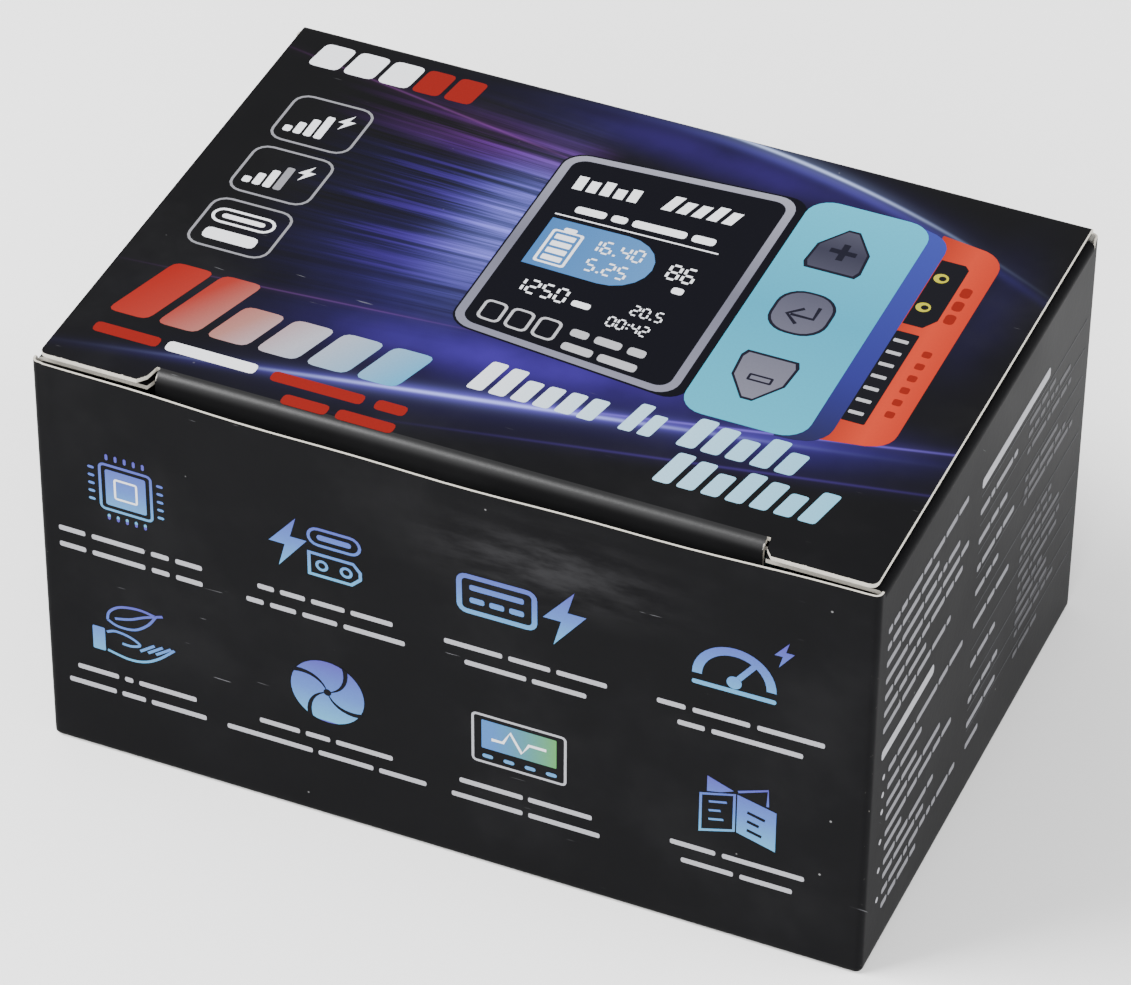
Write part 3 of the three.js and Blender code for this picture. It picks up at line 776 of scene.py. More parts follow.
def lid_front(x):
    """Where the lid's front edge is at that x: at the fold, or further forward on the shoulders."""
    fold = LID_HIGH.x - SHOULDER
    fold_y = TUCK_HIGH.y
    away = abs(x)
    if away <= fold:
        return fold_y
    if away <= fold + 0.35:
        return fold_y - 2.1 * (away - fold) / 0.35
    if away <= fold + 1.3:
        return fold_y - 2.1 - (fold_y - 2.1 - LID_LOW.y) * (away - fold - 0.35) / 0.95
    corner = max(0.0, away - (LID_HIGH.x - 1.0))
    return LID_LOW.y + 1.0 - math.sqrt(max(0.0, 1.0 - corner ** 2))


def lid_board():
    """The lid, with the crease that joins it to the back wall."""
    fold = LID_HIGH.x - SHOULDER
    half = [0.0, 6, 12, 18, 24, 30, 36, fold - 1.0, fold - 0.3, fold, fold + 0.35, fold + 0.8, fold + 1.3,
            44, 48, 52, LID_HIGH.x - 1.0, LID_HIGH.x - 0.6, LID_HIGH.x - 0.3, LID_HIGH.x - 0.1, LID_HIGH.x]
    grid = []
    for x in [-value for value in half[:0:-1]] + half:
        front = lid_front(x)
        back = HALF_D - CREASE
        row = []
        side = max(0.0, 1 - (LID_HIGH.x - abs(x)) / 0.5) * 0.75
        for y in [front, front + 0.15, front + 0.5, front + 1.2, *steps(front + 4, back - 2, 18), back]:
            shoulder = 0.95 if abs(x) > fold + 0.2 else 0.0
            near = max(0.0, 1 - (y - front) / 0.6) * shoulder
            row.append(((x, y, LID_TOP), (x, y, LID_TOP - BOARD), max(near, side)))
        for n in range(1, 8):
            angle = math.radians(90 - n * 90 / 7)
            out = (math.cos(angle), math.sin(angle))
            outer = (x, back + CREASE * out[0], LID_TOP - CREASE + CREASE * out[1])
            inner = (x, outer[1] - BOARD * out[0], outer[2] - BOARD * out[1])
            row.append((outer, inner, 0.72))
        grid.append(row)
    mesh = Mesh()
    mesh.sheet(grid)
    piece = mesh.build("lid_board", [LID_PRINT, INSIDE, CUT], 50)
    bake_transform(piece)
    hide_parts("lid_panel")


def tuck_board():
    """The tuck flap: it bends down from the lid's front edge, and its lower corners are round."""
    half = TUCK_HIGH.x
    bend = TUCK_HIGH.y - TUCK_LOW.y
    round_off = 7.0
    columns = [0.0, 6, 12, 18, 24, 30, half - 7, half - 5, half - 3.4, half - 2, half - 1, half - 0.4,
               half - 0.1, half]
    grid = []
    for x in [-value for value in columns[:0:-1]] + columns:
        into = max(0.0, abs(x) - (half - round_off))
        low = TUCK_LOW.z + round_off - math.sqrt(max(0.0, round_off ** 2 - into ** 2))
        row = []
        for n in range(9):
            angle = math.radians(90 + n * 90 / 8)
            out = (math.cos(angle), math.sin(angle))
            outer = (x, TUCK_HIGH.y + bend * out[0], LID_TOP - bend + bend * out[1])
            inner = (x, outer[1] - BOARD * out[0], outer[2] - BOARD * out[1])
            ends = 0.9 if abs(x) > half - 0.3 else 0.45
            row.append((outer, inner, ends))
        for z in steps(LID_TOP - bend - 0.5, low, 7):
            row.append(((x, TUCK_LOW.y, z), (x, TUCK_LOW.y + BOARD, z), 0.0))
        grid.append(row)
    mesh = Mesh()
    mesh.sheet(grid)
    piece = mesh.build("tuck_board", [FOLDED, INSIDE, CUT], 50)
    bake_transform(piece)
    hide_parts("tuck_flap")


def dust_board(side):
    """A dust flap and its crease. side is -1 for the left one and 1 for the right one."""
    name = "right" if side > 0 else "left"
    low, high = box_mm("dust_flap_" + name)
    reach = high.x - low.x
    crease_x = HALF_W - CREASE
    step = HALF_W - LID_GAP - SHOULDER
    grid = []
    arc_steps = 7
    stations = []
    for n in range(arc_steps):
        angle = math.radians(n * 90 / arc_steps)
        out = (math.cos(angle), math.sin(angle))
        stations.append((crease_x + CREASE * out[0], high.z - CREASE + CREASE * out[1], out))
    tip = crease_x - reach + 0.6
    flat = [crease_x, crease_x - 0.6, 52, 48, 45, step + 0.6, step + 0.3, step, step - 0.3, 38, 34, 30, 27,
            25.5]
    for x in [*flat, tip + 2.0, tip + 1.0, tip + 0.4, tip + 0.1, tip]:
        stations.append((x, high.z, (0.0, 1.0)))
    for x, z, out in stations:
        away = max(0.0, crease_x - x)
        front = low.y + 0.2 + 2.2 * smooth(step + 0.3 - x, 0.0, 0.6)
        back = high.y - 0.2 - away
        corner = max(0.0, 2.0 - (x - tip))
        cut = 2.0 - math.sqrt(max(0.0, 4.0 - corner ** 2))
        row = []
        for share in [0.0, 0.004, 0.02, 0.06, *steps(0.12, 0.88, 8), 0.94, 0.98, 0.996, 1.0]:
            y = (front + cut) + (back - front - 2 * cut) * share
            near = max(0.0, 1 - min(share, 1 - share) / 0.006) * 0.8
            outer = (side * x, y, z)
            inner = (side * (x - BOARD * out[0]), y, z - BOARD * out[1])
            row.append((outer, inner, max(near, 0.62 if out[0] > 0.05 else 0.0)))
        grid.append(row)
    mesh = Mesh()
    mesh.sheet(grid)
    piece = mesh.build(f"dust_flap_{name}_board", BOARD_FACES, 50)
    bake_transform(piece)
    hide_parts("dust_flap_" + name)


carton_sleeve()
bottom_board()
lid_board()
tuck_board()
dust_board(-1)
dust_board(1)


# ---------------------------------------------------------------- print, drawn as thin layers on the board


def on_lid(u, v, h):
    """From the lid's front left corner, to the right and to the back."""
    return (u - HALF_W, v - HALF_D, LID_TOP + h)


def on_front(u, v, h):
    x = u - HALF_W
    return (x, -HALF_D - bow(x, v) - wave(x, v) - h, v)


def on_right(u, v, h):
    return (HALF_W + h, u - HALF_D, v)


def on_back(u, v, h):
    return (HALF_W - u, HALF_D + h, v)


def on_left(u, v, h):
    return (-HALF_W - h, HALF_D - u, v)


class Print:
    """A printed picture on one face. Each layer of ink lies a little higher than the last.

    origin is where on the face the shapes' own (0, 0) lies.
    """

    def __init__(self, face):
        self.face = face
        self.origin = (0.0, 0.0)
        self.mesh = Mesh()
        self.inks = []

    def place(self, u, v, h):
        return self.face(u + self.origin[0], v + self.origin[1], h)

    def slot(self, material):
        if material not in self.inks:
            self.inks.append(material)
        return self.inks.index(material)

    def top(self, layer):
        """How high that layer of ink stands."""
        return INK * (0.4 + 0.6 * layer)

    def shape(self, outline, material, layer=1):
        self.mesh.plate(outline, self.place, SUNK, self.top(layer), self.slot(material))

    def ring(self, outer, inner, material, layer=1):
        self.mesh.band(outer, inner, self.place, SUNK, self.top(layer), self.slot(material))

    def line(self, points, width, material, layer=1):
        self.shape(stroked(points, width), material, layer)

    def frame(self, u0, v0, u1, v1, radius, width, material, layer=1):
        """A round-cornered outline of that line width."""
        outer = rounded(u0, v0, u1, v1, radius)
        inner = rounded(u0 + width, v0 + width, u1 - width, v1 - width, max(0.05, radius - width))
        self.ring(outer, inner, material, layer)

    def words(self, u, v, letters, size, material, width=None, layer=1, align="left"):
        """Greeked text: one bar for each word. letters gives their lengths, and size a letter's height."""
        room = sum(letters) + WORD_GAP * (len(letters) - 1)
        letter = width / room if width else size * LETTER
        start = {"left": u, "middle": u - room * letter / 2, "right": u - room * letter}[align]
        for count in letters:
            end = start + count * letter
            self.shape(rounded(start, v, end, v + size, size * 0.3, 2), material, layer)
            start = end + WORD_GAP * letter

    def paragraph(self, u0, u1, v, size, material, dice, layer=1):
        """One line of greeked text that fills the room from u0 to about u1."""
        letter = size * LETTER
        letters = []
        room = (u1 - u0) / letter
        while room > 2:
            count = min(dice.choice([2, 3, 4, 5, 6, 7, 9, 11]), int(room))
            letters.append(count)
            room -= count + WORD_GAP
        self.words(u0, v, letters, size, material, None, layer)

    def slanted(self, u0, v0, u1, v1, count, gap, lean, material, heights=(1.0,), layer=1):
        """A row of slanted bars, as tall as heights says in turn."""
        pitch = (u1 - u0 + gap) / count
        for n in range(count):
            left = u0 + n * pitch
            right = left + pitch - gap
            top = v0 + (v1 - v0) * heights[n % len(heights)]
            shift = lean * (top - v0)
            block = [(left, v0), (right, v0), (right + shift, top), (left + shift, top)]
            self.shape(softened(block, (right - left) * 0.22, 3), material, layer)

    def build(self, name, body, look="printed_board"):
        piece = self.mesh.build(name, self.inks, 0)
        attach(piece, body)


DIGIT_BARS = {
    "0": "abcdef", "1": "bc", "2": "abged", "3": "abgcd", "4": "fgbc",
    "5": "afgcd", "6": "afgedc", "7": "abc", "8": "abcdefg", "9": "abcdfg",
}


def digit_strokes(character, u, v, width, height):
    """The strokes of a seven-bar digit whose lower left corner is at u, v."""
    middle = v + height / 2
    top = v + height
    right = u + width
    ends = {
        "a": ((u, top), (right, top)),
        "b": ((right, top), (right, middle)),
        "c": ((right, middle), (right, v)),
        "d": ((u, v), (right, v)),
        "e": ((u, middle), (u, v)),
        "f": ((u, top), (u, middle)),
        "g": ((u, middle), (right, middle)),
    }
    return [ends[bar] for bar in DIGIT_BARS[character]]


def reading(art, text, u, v, height, material, layer, weight=0.13, warp=None):
    """A number on a display. warp, if given, moves each outline point."""
    width = height * 0.48
    warp = warp or (lambda point: point)
    for character in text:
        if character in DIGIT_BARS:
            for start, end in digit_strokes(character, u, v, width, height):
                trim = height * weight * 0.62 / math.dist(start, end)
                ends = [
                    (start[0] + (end[0] - start[0]) * trim, start[1] + (end[1] - start[1]) * trim),
                    (end[0] + (start[0] - end[0]) * trim, end[1] + (start[1] - end[1]) * trim),
                ]
                art.shape([warp(point) for point in stroked(ends, height * weight)], material, layer)
            u += width + height * 0.24
        else:
            dots = [v + height * 0.05] if character == "." else [v + height * 0.3, v + height * 0.7]
            for dot in dots:
                outline = rounded(u - 0.02 * height, dot - 0.07 * height, u + 0.12 * height,
                                  dot + 0.07 * height, 0.01)
                art.shape([warp(point) for point in outline], material, layer)
            u += height * 0.3


def screen_picture(art, warp, inks, layer=1):
    """What the display shows, in the picture's own units from its lower left corner.

    warp moves each outline point to where it lies on the face.
    """
    white, dim, pill, pill_ink, outline = inks

    def shape(outline_points, material, up=0):
        art.shape([warp(point) for point in outline_points], material, layer + up)

    def bars(u, v, letters, size, material, width, align="left", up=0):
        room = sum(letters) + WORD_GAP * (len(letters) - 1)
        letter = width / room
        start = {"left": u, "middle": u - width / 2, "right": u - width}[align]
        for count in letters:
            shape(rounded(start, v, start + count * letter, v + size, size * 0.3, 2), material, up)
            start += (count + WORD_GAP) * letter

    for n, lift in enumerate((1.0, 0.82, 1.0, 0.7, 0.9)):
        left = 3.2 + n * 1.9
        top = NAME_LOW + 3.2 * lift
        shape([(left, NAME_LOW), (left + 1.35, NAME_LOW), (left + 1.35, top), (left, top)], white)
    for n, lift in enumerate((1.0, 0.8, 0.8, 0.95, 0.8)):
        left = 15.6 + n * 2.1
        lean = 0.9 * lift
        top = NAME_LOW + 3.4 * lift
        shape([(left, NAME_LOW), (left + 1.4, NAME_LOW), (left + 1.4 + lean, top), (left + lean, top)],
              white)
    bars(5.5, 29.6, [4, 2, 7, 3], 1.5, white, 19.5)
    shape(rounded(3.4, 28.25, 26.2, 28.5, 0.05, 1), white)
    pill_outline = [(3.5, 16.4), *arc(14.2, 21.9, 5.5, -90, 90, 10), (3.5, 27.4)]
    shape(pill_outline, pill)
    shape(rounded(4.6, 17.4, 9.0, 25.1, 0.4, 2), pill_ink, 1)
    shape(rounded(5.9, 25.1, 7.7, 25.9, 0.2, 1), pill_ink, 1)
    shape(rounded(5.0, 17.8, 8.6, 24.7, 0.2, 1), pill, 2)
    for n in range(4):
        shape(rounded(5.4, 18.2 + n * 1.62, 8.2, 19.3 + n * 1.62, 0.1, 1), pill_ink, 3)
    reading(art, "16.40", 10.2, 22.6, 2.5, pill_ink, layer + 1, warp=warp)
    reading(art, "5.25", 11.4, 18.4, 2.5, pill_ink, layer + 1, warp=warp)
    reading(art, "86", 21.8, 21.2, 2.9, white, layer, warp=warp)
    bars(23.6, 18.6, [2], 1.3, white, 1.6)
    reading(art, "1250", 4.4, 10.6, 2.8, white, layer, warp=warp)
    bars(12.9, 10.7, [3], 1.2, white, 2.6)
    reading(art, "20.5", 20.6, 12.4, 1.9, white, layer, warp=warp)
    reading(art, "00:42", 18.6, 9.0, 1.9, white, layer, warp=warp)
    for n in range(3):
        left = 2.7 + n * 3.9
        outer = rounded(left, 2.6, left + 3.3, 7.0, 0.9, 3)
        inner = rounded(left + 0.4, 3.0, left + 2.9, 6.6, 0.6, 3)
        art.ring([warp(p) for p in outer], [warp(p) for p in inner], outline, layer)
    bars(15.2, 5.0, [2, 3, 2], 1.5, dim, 10.6)
    bars(15.2, 2.0, [4, 5], 1.5, dim, 10.6)


def usb_symbol(art, u0, v0, u1, v1, width, material, layer=1):
    """A USB-C opening: a pill outline with a bar in it."""
    radius = (v1 - v0) / 2
    art.frame(u0, v0, u1, v1, radius, width, material, layer)
    inset = (v1 - v0) * 0.36
    art.shape(rounded(u0 + radius * 0.9, v0 + inset, u1 - radius * 0.9, v1 - inset, 0.5), material, layer)


# ---------------------------------------------------------------- the lid's picture

TITLE = shaded_ink("ink_title", span("x", 17.6 - HALF_W, 61.9 - HALF_W, -0.6), [
    (0.0, (0.19, 0.008, 0.005)), (0.2, (0.21, 0.02, 0.014)), (0.42, (0.24, 0.11, 0.095)),
    (0.62, (0.26, 0.26, 0.3)), (1.0, (0.045, 0.22, 0.37))])
SLOGAN = shaded_ink("ink_slogan", span("x", 53 - HALF_W, 104 - HALF_W), [
    (0.0, (0.55, 0.57, 0.6)), (0.4, (0.3, 0.45, 0.55)), (1.0, (0.13, 0.34, 0.46))])
DEVICE_RING = shaded_ink("ink_device_ring", span("y", 25 - HALF_D, 69 - HALF_D), [
    (0.0, (0.13, 0.13, 0.17)), (0.5, (0.09, 0.09, 0.12)), (1.0, (0.18, 0.18, 0.22))])
DEVICE_SKY = shaded_ink("ink_device_sky", span("y", 23 - HALF_D, 71 - HALF_D), [
    (0.0, (0.038, 0.26, 0.36)), (0.5, (0.03, 0.22, 0.32)), (1.0, (0.04, 0.29, 0.4))])
DEVICE_SIDE = shaded_ink("ink_device_side", span("y", 23 - HALF_D, 71 - HALF_D), [
    (0.0, (0.012, 0.012, 0.04)), (0.3, (0.018, 0.018, 0.12)), (1.0, (0.028, 0.036, 0.2))])
DEVICE_RED = shaded_ink("ink_device_red", span("x", 97 - HALF_W, 107 - HALF_W), [
    (0.0, (0.24, 0.018, 0.008)), (0.55, (0.36, 0.032, 0.014)), (1.0, (0.3, 0.022, 0.01))])
DEVICE_RED_MARK = ink("ink_device_red_mark", (0.15, 0.01, 0.006))
DEVICE_KEY = shaded_ink("ink_device_key", span("y", 27 - HALF_D, 67 - HALF_D), [
    (0.0, (0.11, 0.11, 0.14)), (0.5, (0.06, 0.06, 0.085)), (0.85, (0.022, 0.022, 0.036)),
    (1.0, (0.045, 0.045, 0.065))])
DEVICE_KEY_MARK = ink("ink_device_key_mark", (0.008, 0.008, 0.014))
DEVICE_GOLD = ink("ink_device_gold", (0.3, 0.28, 0.02))
PILL = shaded_ink("ink_pill", span("x", 49 - HALF_W, 65 - HALF_W),
                  [(0.0, (0.03, 0.1, 0.25)), (1.0, (0.05, 0.14, 0.3))])


def tilted(point):
    """Where a point of the printed display lies on the lid: its right end is nearer, so it is taller."""
    u, v = point
    across, up = u / PICTURE_WIDE, v / PICTURE_HIGH
    low = 27.5 - 3.2 * across
    high = 67.3 + 2.4 * across
    return (DEVICE_LEFT + PICTURE_WIDE * across, low + (high - low) * up)


def printed_device(art):
    """The charger's picture on the lid."""
    art.shape([(96.5, 24.0), (103.2, 25.2), *arc(102.9, 28.6, 3.3, -60, 0, 4),
               *arc(102.2, 65.2, 4.0, 0, 75, 5),
               (97.0, 70.0)], DEVICE_RED)
    art.shape([(92.0, 22.6), (94.6, 22.8), *arc(94.9, 26.6, 3.6, -70, 0, 4),
               *arc(94.9, 66.4, 3.6, 0, 70, 4),
               (92.0, 71.0)], DEVICE_SIDE, 2)
    art.shape(rounded(78.7, 22.9, 95.6, 71.0, 3.5, 6), DEVICE_SKY, 3)
    art.shape([(98.6, 50.5), (101.3, 50.5), (102.6, 52.6), (102.6, 64.2), (101.9, 65.0), (98.6, 65.0)],
              RULE_BLACK, 2)
    for v in (54.6, 61.2):
        art.shape(disc(99.9, v, 1.0, 16), DEVICE_GOLD, 3)
        art.shape(disc(100.1, v, 0.5, 12), RULE_BLACK, 4)
    art.shape(rounded(98.5, 29.0, 101.6, 48.8, 0.2), RULE_BLACK, 2)
    for n in range(7):
        art.shape(rounded(98.8, 30.6 + n * 2.65, 100.8, 31.25 + n * 2.65, 0.1, 1), PALE_GREY, 3)
    for n in range(6):
        art.shape(rounded(103.2, 31.6 + n * 2.65, 104.4, 32.9 + n * 2.65, 0.3, 2), DEVICE_RED_MARK, 2)
    for n in range(3):
        art.shape(rounded(103.2, 52.5 + n * 3.0, 104.6, 54.6 + n * 3.0, 0.5, 2), DEVICE_RED_MARK, 2)
    body = [tilted(point) for point in rounded(-0.25, -0.3, 33.4, 42.9, 3.1, 6)]
    art.shape(body, SCREEN_BLACK, 1)
    outer = [tilted(point) for point in rounded(0.0, 0.0, 32.0, 42.6, 3.0, 6)]
    inner = [tilted(point) for point in rounded(1.2, 1.2, 30.8, 41.4, 2.0, 6)]
    art.ring(outer, inner, DEVICE_RING, 2)
    screen_picture(art, tilted, (WHITE, PALE_GREY, PILL, WHITE, PALE_GREY), 2)
    keys = [(61.4, "plus"), (47.1, "enter"), (32.5, "minus")]
    for v, kind in keys:
        if kind == "enter":
            outer = rounded(82.2, v - 4.6, 90.2, v + 4.6, 3.4, 6)
            inner = rounded(82.6, v - 4.2, 89.8, v + 4.2, 3.1, 6)
        else:
            outer = house(86.2, v, 7.9, 9.8, kind == "plus")
            inner = house(86.2, v, 7.1, 8.9, kind == "plus")
        art.shape(outer, DEVICE_KEY_MARK, 4)
        art.shape(inner, DEVICE_KEY, 5)
    art.shape(plus_outline(86.4, 61.2, 1.8, 0.9), DEVICE_KEY_MARK, 6)
    art.frame(84.7, 31.6, 88.0, 33.0, 0.2, 0.32, DEVICE_KEY_MARK, 6)
    art.line([(88.0, 49.0), (88.0, 46.4), (84.9, 46.4)], 0.5, DEVICE_KEY_MARK, 6)
    art.line([(86.2, 48.1), (84.4, 46.4), (86.2, 44.7)], 0.5, DEVICE_KEY_MARK, 6)


def lid_print():
    art = Print(on_lid)
    art.slanted(4.9, 71.6, 19.6, 77.0, 3, 0.7, 0.12, WHITE, (1.0,))
    art.slanted(20.2, 71.6, 28.8, 77.0, 2, 0.7, 0.12, RED, (1.0,))
    for low in (54.3, 41.8, 29.2):
        art.frame(6.9, low, 18.6, low + 10.8, 2.2, 0.36, GREY)
    for low, level in ((54.3, 3), (41.8, 2)):
        art.shape(bolt(15.6, low + 7.0, 3.6), WHITE)
        for n in range(4):
            high = low + 2.2 + 1.3 * (n + 1)
            bar = rounded(8.3 + n * 1.5, low + 2.2, 9.4 + n * 1.5, high, 0.2, 1)
            art.shape(bar, WHITE if n <= level else GREY)
    usb_symbol(art, 8.0, 34.6, 17.0, 37.8, 0.42, WHITE)
    art.words(8.7, 31.0, [5], 2.3, WHITE, 7.5)
    art.slanted(4.7, 12.2, 45.0, 24.6, 6, 1.3, 0.3, TITLE, (1.0, 1.0, 0.62, 0.62, 0.62, 0.62))
    art.words(4.8, 7.5, [5], 2.0, RED, 9.2)
    art.words(15.0, 7.5, [7], 2.0, WHITE, 12.6)
    art.words(29.8, 7.3, [6, 2], 2.0, RED, 18.6)
    art.words(33.0, 3.6, [4, 5], 2.0, RED, 15.4)
    art.slanted(53.0, 16.0, 70.2, 22.2, 6, 0.75, 0.2, SLOGAN, (1.0, 0.96, 0.72, 0.72, 0.72, 0.72))
    art.slanted(73.6, 16.0, 78.0, 22.2, 2, 0.75, 0.2, SLOGAN, (0.96, 0.72))
    art.slanted(81.4, 16.0, 97.0, 22.2, 5, 0.75, 0.2, SLOGAN, (1.0, 0.9, 0.72, 0.98, 0.72))
    art.slanted(81.4, 8.4, 103.0, 14.8, 7, 0.85, 0.2, SLOGAN, (1.0, 0.92, 0.72, 0.98, 0.9, 0.72, 1.0))
    printed_device(art)
    art.build("lid_picture", "lid")


# ---------------------------------------------------------------- the walls' print

FRONT_GLOW = shaded_ink(
    "ink_front_glow",
    lambda graph: graph.math("FRACT", graph.math("DIVIDE", graph.minus(graph.z, 16.6), 24.2)),
    [(0.0, (0.08, 0.26, 0.42)), (0.2, (0.065, 0.13, 0.36)), (0.42, (0.06, 0.055, 0.27)),
     (1.0, (0.06, 0.055, 0.27))])
SCREEN_GLOW = shaded_ink("ink_screen_glow", span("x", 64 - HALF_W, 74 - HALF_W), [
    (0.0, (0.05, 0.14, 0.34)), (0.5, (0.06, 0.18, 0.18)), (1.0, (0.08, 0.24, 0.04))])


def chip_icon(art):
    art.frame(-3.85, -3.85, 3.85, 3.85, 0.8, 0.38, FRONT_GLOW)
    art.shape(rounded(-2.9, -2.9, 2.9, 2.9, 0.3), FRONT_GLOW)
    art.frame(-1.7, -1.7, 1.7, 1.7, 0.4, 0.3, WHITE, 2)
    for n in range(5):
        at = (n - 2) * 1.3
        for side in (-1, 1):
            near, far = sorted((side * 4.45, side * 5.4))
            art.shape(rounded(at - 0.2, near, at + 0.2, far, 0.15, 1), FRONT_GLOW)
            art.shape(rounded(near, at - 0.2, far, at + 0.2, 0.15, 1), FRONT_GLOW)


def two_inputs_icon(art):
    art.shape(bolt(-5.0, -0.2, 8.6), FRONT_GLOW)
    usb_symbol(art, -2.2, 0.5, 5.4, 3.6, 0.42, FRONT_GLOW)
    outer = [(-2.2, -4.6), (4.0, -4.6), (5.4, -3.2), (5.4, -1.9), (4.3, -0.6), (-2.2, -0.6)]
    inner = [(-1.75, -4.15), (3.8, -4.15), (4.95, -3.0), (4.95, -2.1), (4.1, -1.05), (-1.75, -1.05)]
    art.ring(outer, inner, FRONT_GLOW)
    for at in (-0.2, 3.2):
        art.ring(disc(at, -2.6, 0.9, 16), disc(at, -2.6, 0.5, 16), FRONT_GLOW)


def supply_icon(art):
    """Direct current: a bar over three dashes, in a frame, with a bolt."""
    art.frame(-8.4, -3.4, 2.6, 3.2, 1.4, 0.75, FRONT_GLOW)
    art.shape(rounded(-6.6, 0.6, 0.8, 1.5, 0.3), FRONT_GLOW)
    for n in range(3):
        left = -6.6 + n * 2.7
        art.shape(rounded(left, -1.5, left + 2.0, -0.6, 0.3), FRONT_GLOW)
    art.shape(bolt(6.2, 0.1, 9.4), FRONT_GLOW)


def gauge_icon(art):
    """A current gauge with its needle and a small bolt."""
    outer = arc(-1.0, -2.6, 5.6, 0, 180, 20)
    inner = arc(-1.0, -2.6, 4.3, 0, 180, 20)
    art.shape(outer + inner[::-1], FRONT_GLOW)
    art.line([(-1.0, -2.6), (1.6, 0.9)], 0.8, FRONT_GLOW)
    art.shape(disc(-1.0, -2.6, 1.0, 18), FRONT_GLOW, 2)
    art.shape(rounded(-6.6, -4.4, 4.6, -3.7, 0.3), FRONT_GLOW)
    art.shape(bolt(5.4, 4.0, 4.2), FRONT_GLOW)


def hand_icon(art):
    """A leaf over an open hand."""
    low = [(-3.7, 1.4), (-2.2, 0.7), (0.2, 0.9), (2.2, 2.4), (3.4, 4.2)]
    high = [(3.4, 4.2), (1.0, 4.6), (-1.8, 4.1), (-3.4, 2.8), (-3.7, 1.4)]
    rib = [(-2.6, 1.9), (-0.4, 2.5), (1.8, 3.6), (4.4, 4.6)]
    thumb = [(-3.9, -0.8), (-2.6, -0.3), (-0.6, -0.6), (0.9, -1.5), (-0.3, -2.1), (-1.7, -2.1)]
    palm = [(-3.9, -3.9), (-1.0, -4.5), (1.4, -4.2), (3.6, -2.9), (5.9, -0.7)]
    for points in (low, high, rib, thumb, palm):
        art.line(curve(points), 0.38, FRONT_GLOW)
    for n in range(3):
        knuckle, tip = (0.9 + 1.15 * n, -2.5 + 0.1 * n), (3.0 + 1.2 * n, -0.9 + 0.12 * n)
        art.line([knuckle, tip], 0.4, FRONT_GLOW)
    art.shape(rounded(-6.0, -4.2, -4.2, -0.3, 0.2), FRONT_GLOW)


def fan_icon(art):
    """Four blades in a circle, each with a dark curved gap beside it."""
    art.shape(disc(0, 0, 5.2, 40), FRONT_GLOW)
    for quarter in range(4):
        turn = math.radians(90 * quarter + 8)
        side = []
        for n in range(9):
            reach = 5.35 * n / 8
            bend = turn + 0.16 * reach
            wide = 0.06 + 0.17 * reach
            side.append((reach, bend, wide))
        near = [(r * math.cos(b), r * math.sin(b)) for r, b, w in side]
        far = [(r * math.cos(b) - w * math.sin(b), r * math.sin(b) + w * math.cos(b)) for r, b, w in side]
        art.shape(near + far[:0:-1], RULE_BLACK, 2)
    art.shape(disc(0, 0, 0.55, 16), RULE_BLACK, 3)


def display_icon(art):
    art.frame(-6.6, -4.2, 6.6, 4.2, 0.7, 0.35, PALE_GREY)
    art.shape(rounded(-5.2, -1.6, 5.2, 3.2, 0.1, 1), SCREEN_GLOW)
    trace = [(-3.8, 0.2), (-2.2, 0.2), (-1.2, 2.2), (0.4, -0.7), (1.4, 1.0), (3.8, 1.0)]
    art.line(trace, 0.45, WHITE, 2)
    for n in range(4):
        left = -5.1 + n * 2.95
        art.shape(rounded(left, -3.2, left + 1.5, -2.6, 0.28, 2), FRONT_GLOW)


def cards_icon(art):
    """Two folded cards, one outlined and one filled, with plain marks on them."""
    back = [(-4.2, 2.2), (-4.2, 4.8), (-0.6, 3.4), (-2.4, 2.6)]
    art.shape(back[::-1], FRONT_GLOW)
    art.line([(0.0, 3.5), (4.0, 5.1), (4.0, 2.4)], 0.35, FRONT_GLOW)
    outer = [(-5.2, -5.0), (-0.3, -3.4), (-0.3, 3.0), (-5.2, 1.6)]
    inner = [(-4.85, -4.5), (-0.65, -3.15), (-0.65, 2.6), (-4.85, 1.35)]
    art.ring(outer, inner, FRONT_GLOW)
    art.shape([(-0.1, -3.4), (5.2, -4.9), (5.2, 1.7), (-0.1, 3.0)], FRONT_GLOW)
    for n, width in enumerate((2.4, 1.6, 2.0)):
        level = 0.5 - n * 1.5
        art.line([(-3.9, level), (-3.9 + width, level + width * 0.26)], 0.32, FRONT_GLOW)
        art.line([(1.3, level), (1.3 + width, level - width * 0.26)], 0.45, RULE_BLACK, 2)


def captions(art, blocks):
    """Pairs of centred caption lines: (u, v of the upper line, ((letters, width), (letters, width)))."""
    for u, v, lines in blocks:
        for n, (letters, width) in enumerate(lines):
            low = v + 0.26 - CAPTION_PITCH * n
            art.words(u, low, letters, CAPTION_HIGH, PALE_GREY, width, 1, "middle")


ICONS = [chip_icon, two_inputs_icon, supply_icon, gauge_icon, hand_icon, fan_icon, display_icon, cards_icon]
ICON_COLUMNS = (12.8, 40.7, 67.6, 97.6)
ICON_ROWS = (45.7, 21.6)
CAPTION_HIGH = 0.78
CAPTION_PITCH = 2.7
CAPTIONS = [
    (13.0, 35.9, (([3, 6, 2, 3], 20.6), ([3, 6, 2, 3], 20.6))),
    (40.7, 35.9, (([2, 3, 4, 5], 19.0), ([2, 3, 4, 7], 22.3))),
    (68.5, 35.9, (([7, 5, 6], 22.3), ([8, 7], 16.7))),
    (97.6, 36.1, (([3, 6, 7], 22.4), ([3, 10], 16.8))),
    (13.0, 12.8, (([5, 1, 7], 17.3), ([6, 3, 7], 20.0))),
    (40.3, 12.7, (([5, 3, 7], 19.0), ([11, 7, 6], 28.5))),
    (68.5, 12.6, (([9, 9], 18.5), ([9, 9], 20.7))),
    (97.7, 12.8, (([5, 9], 18.3), ([6, 6], 15.2))),
]


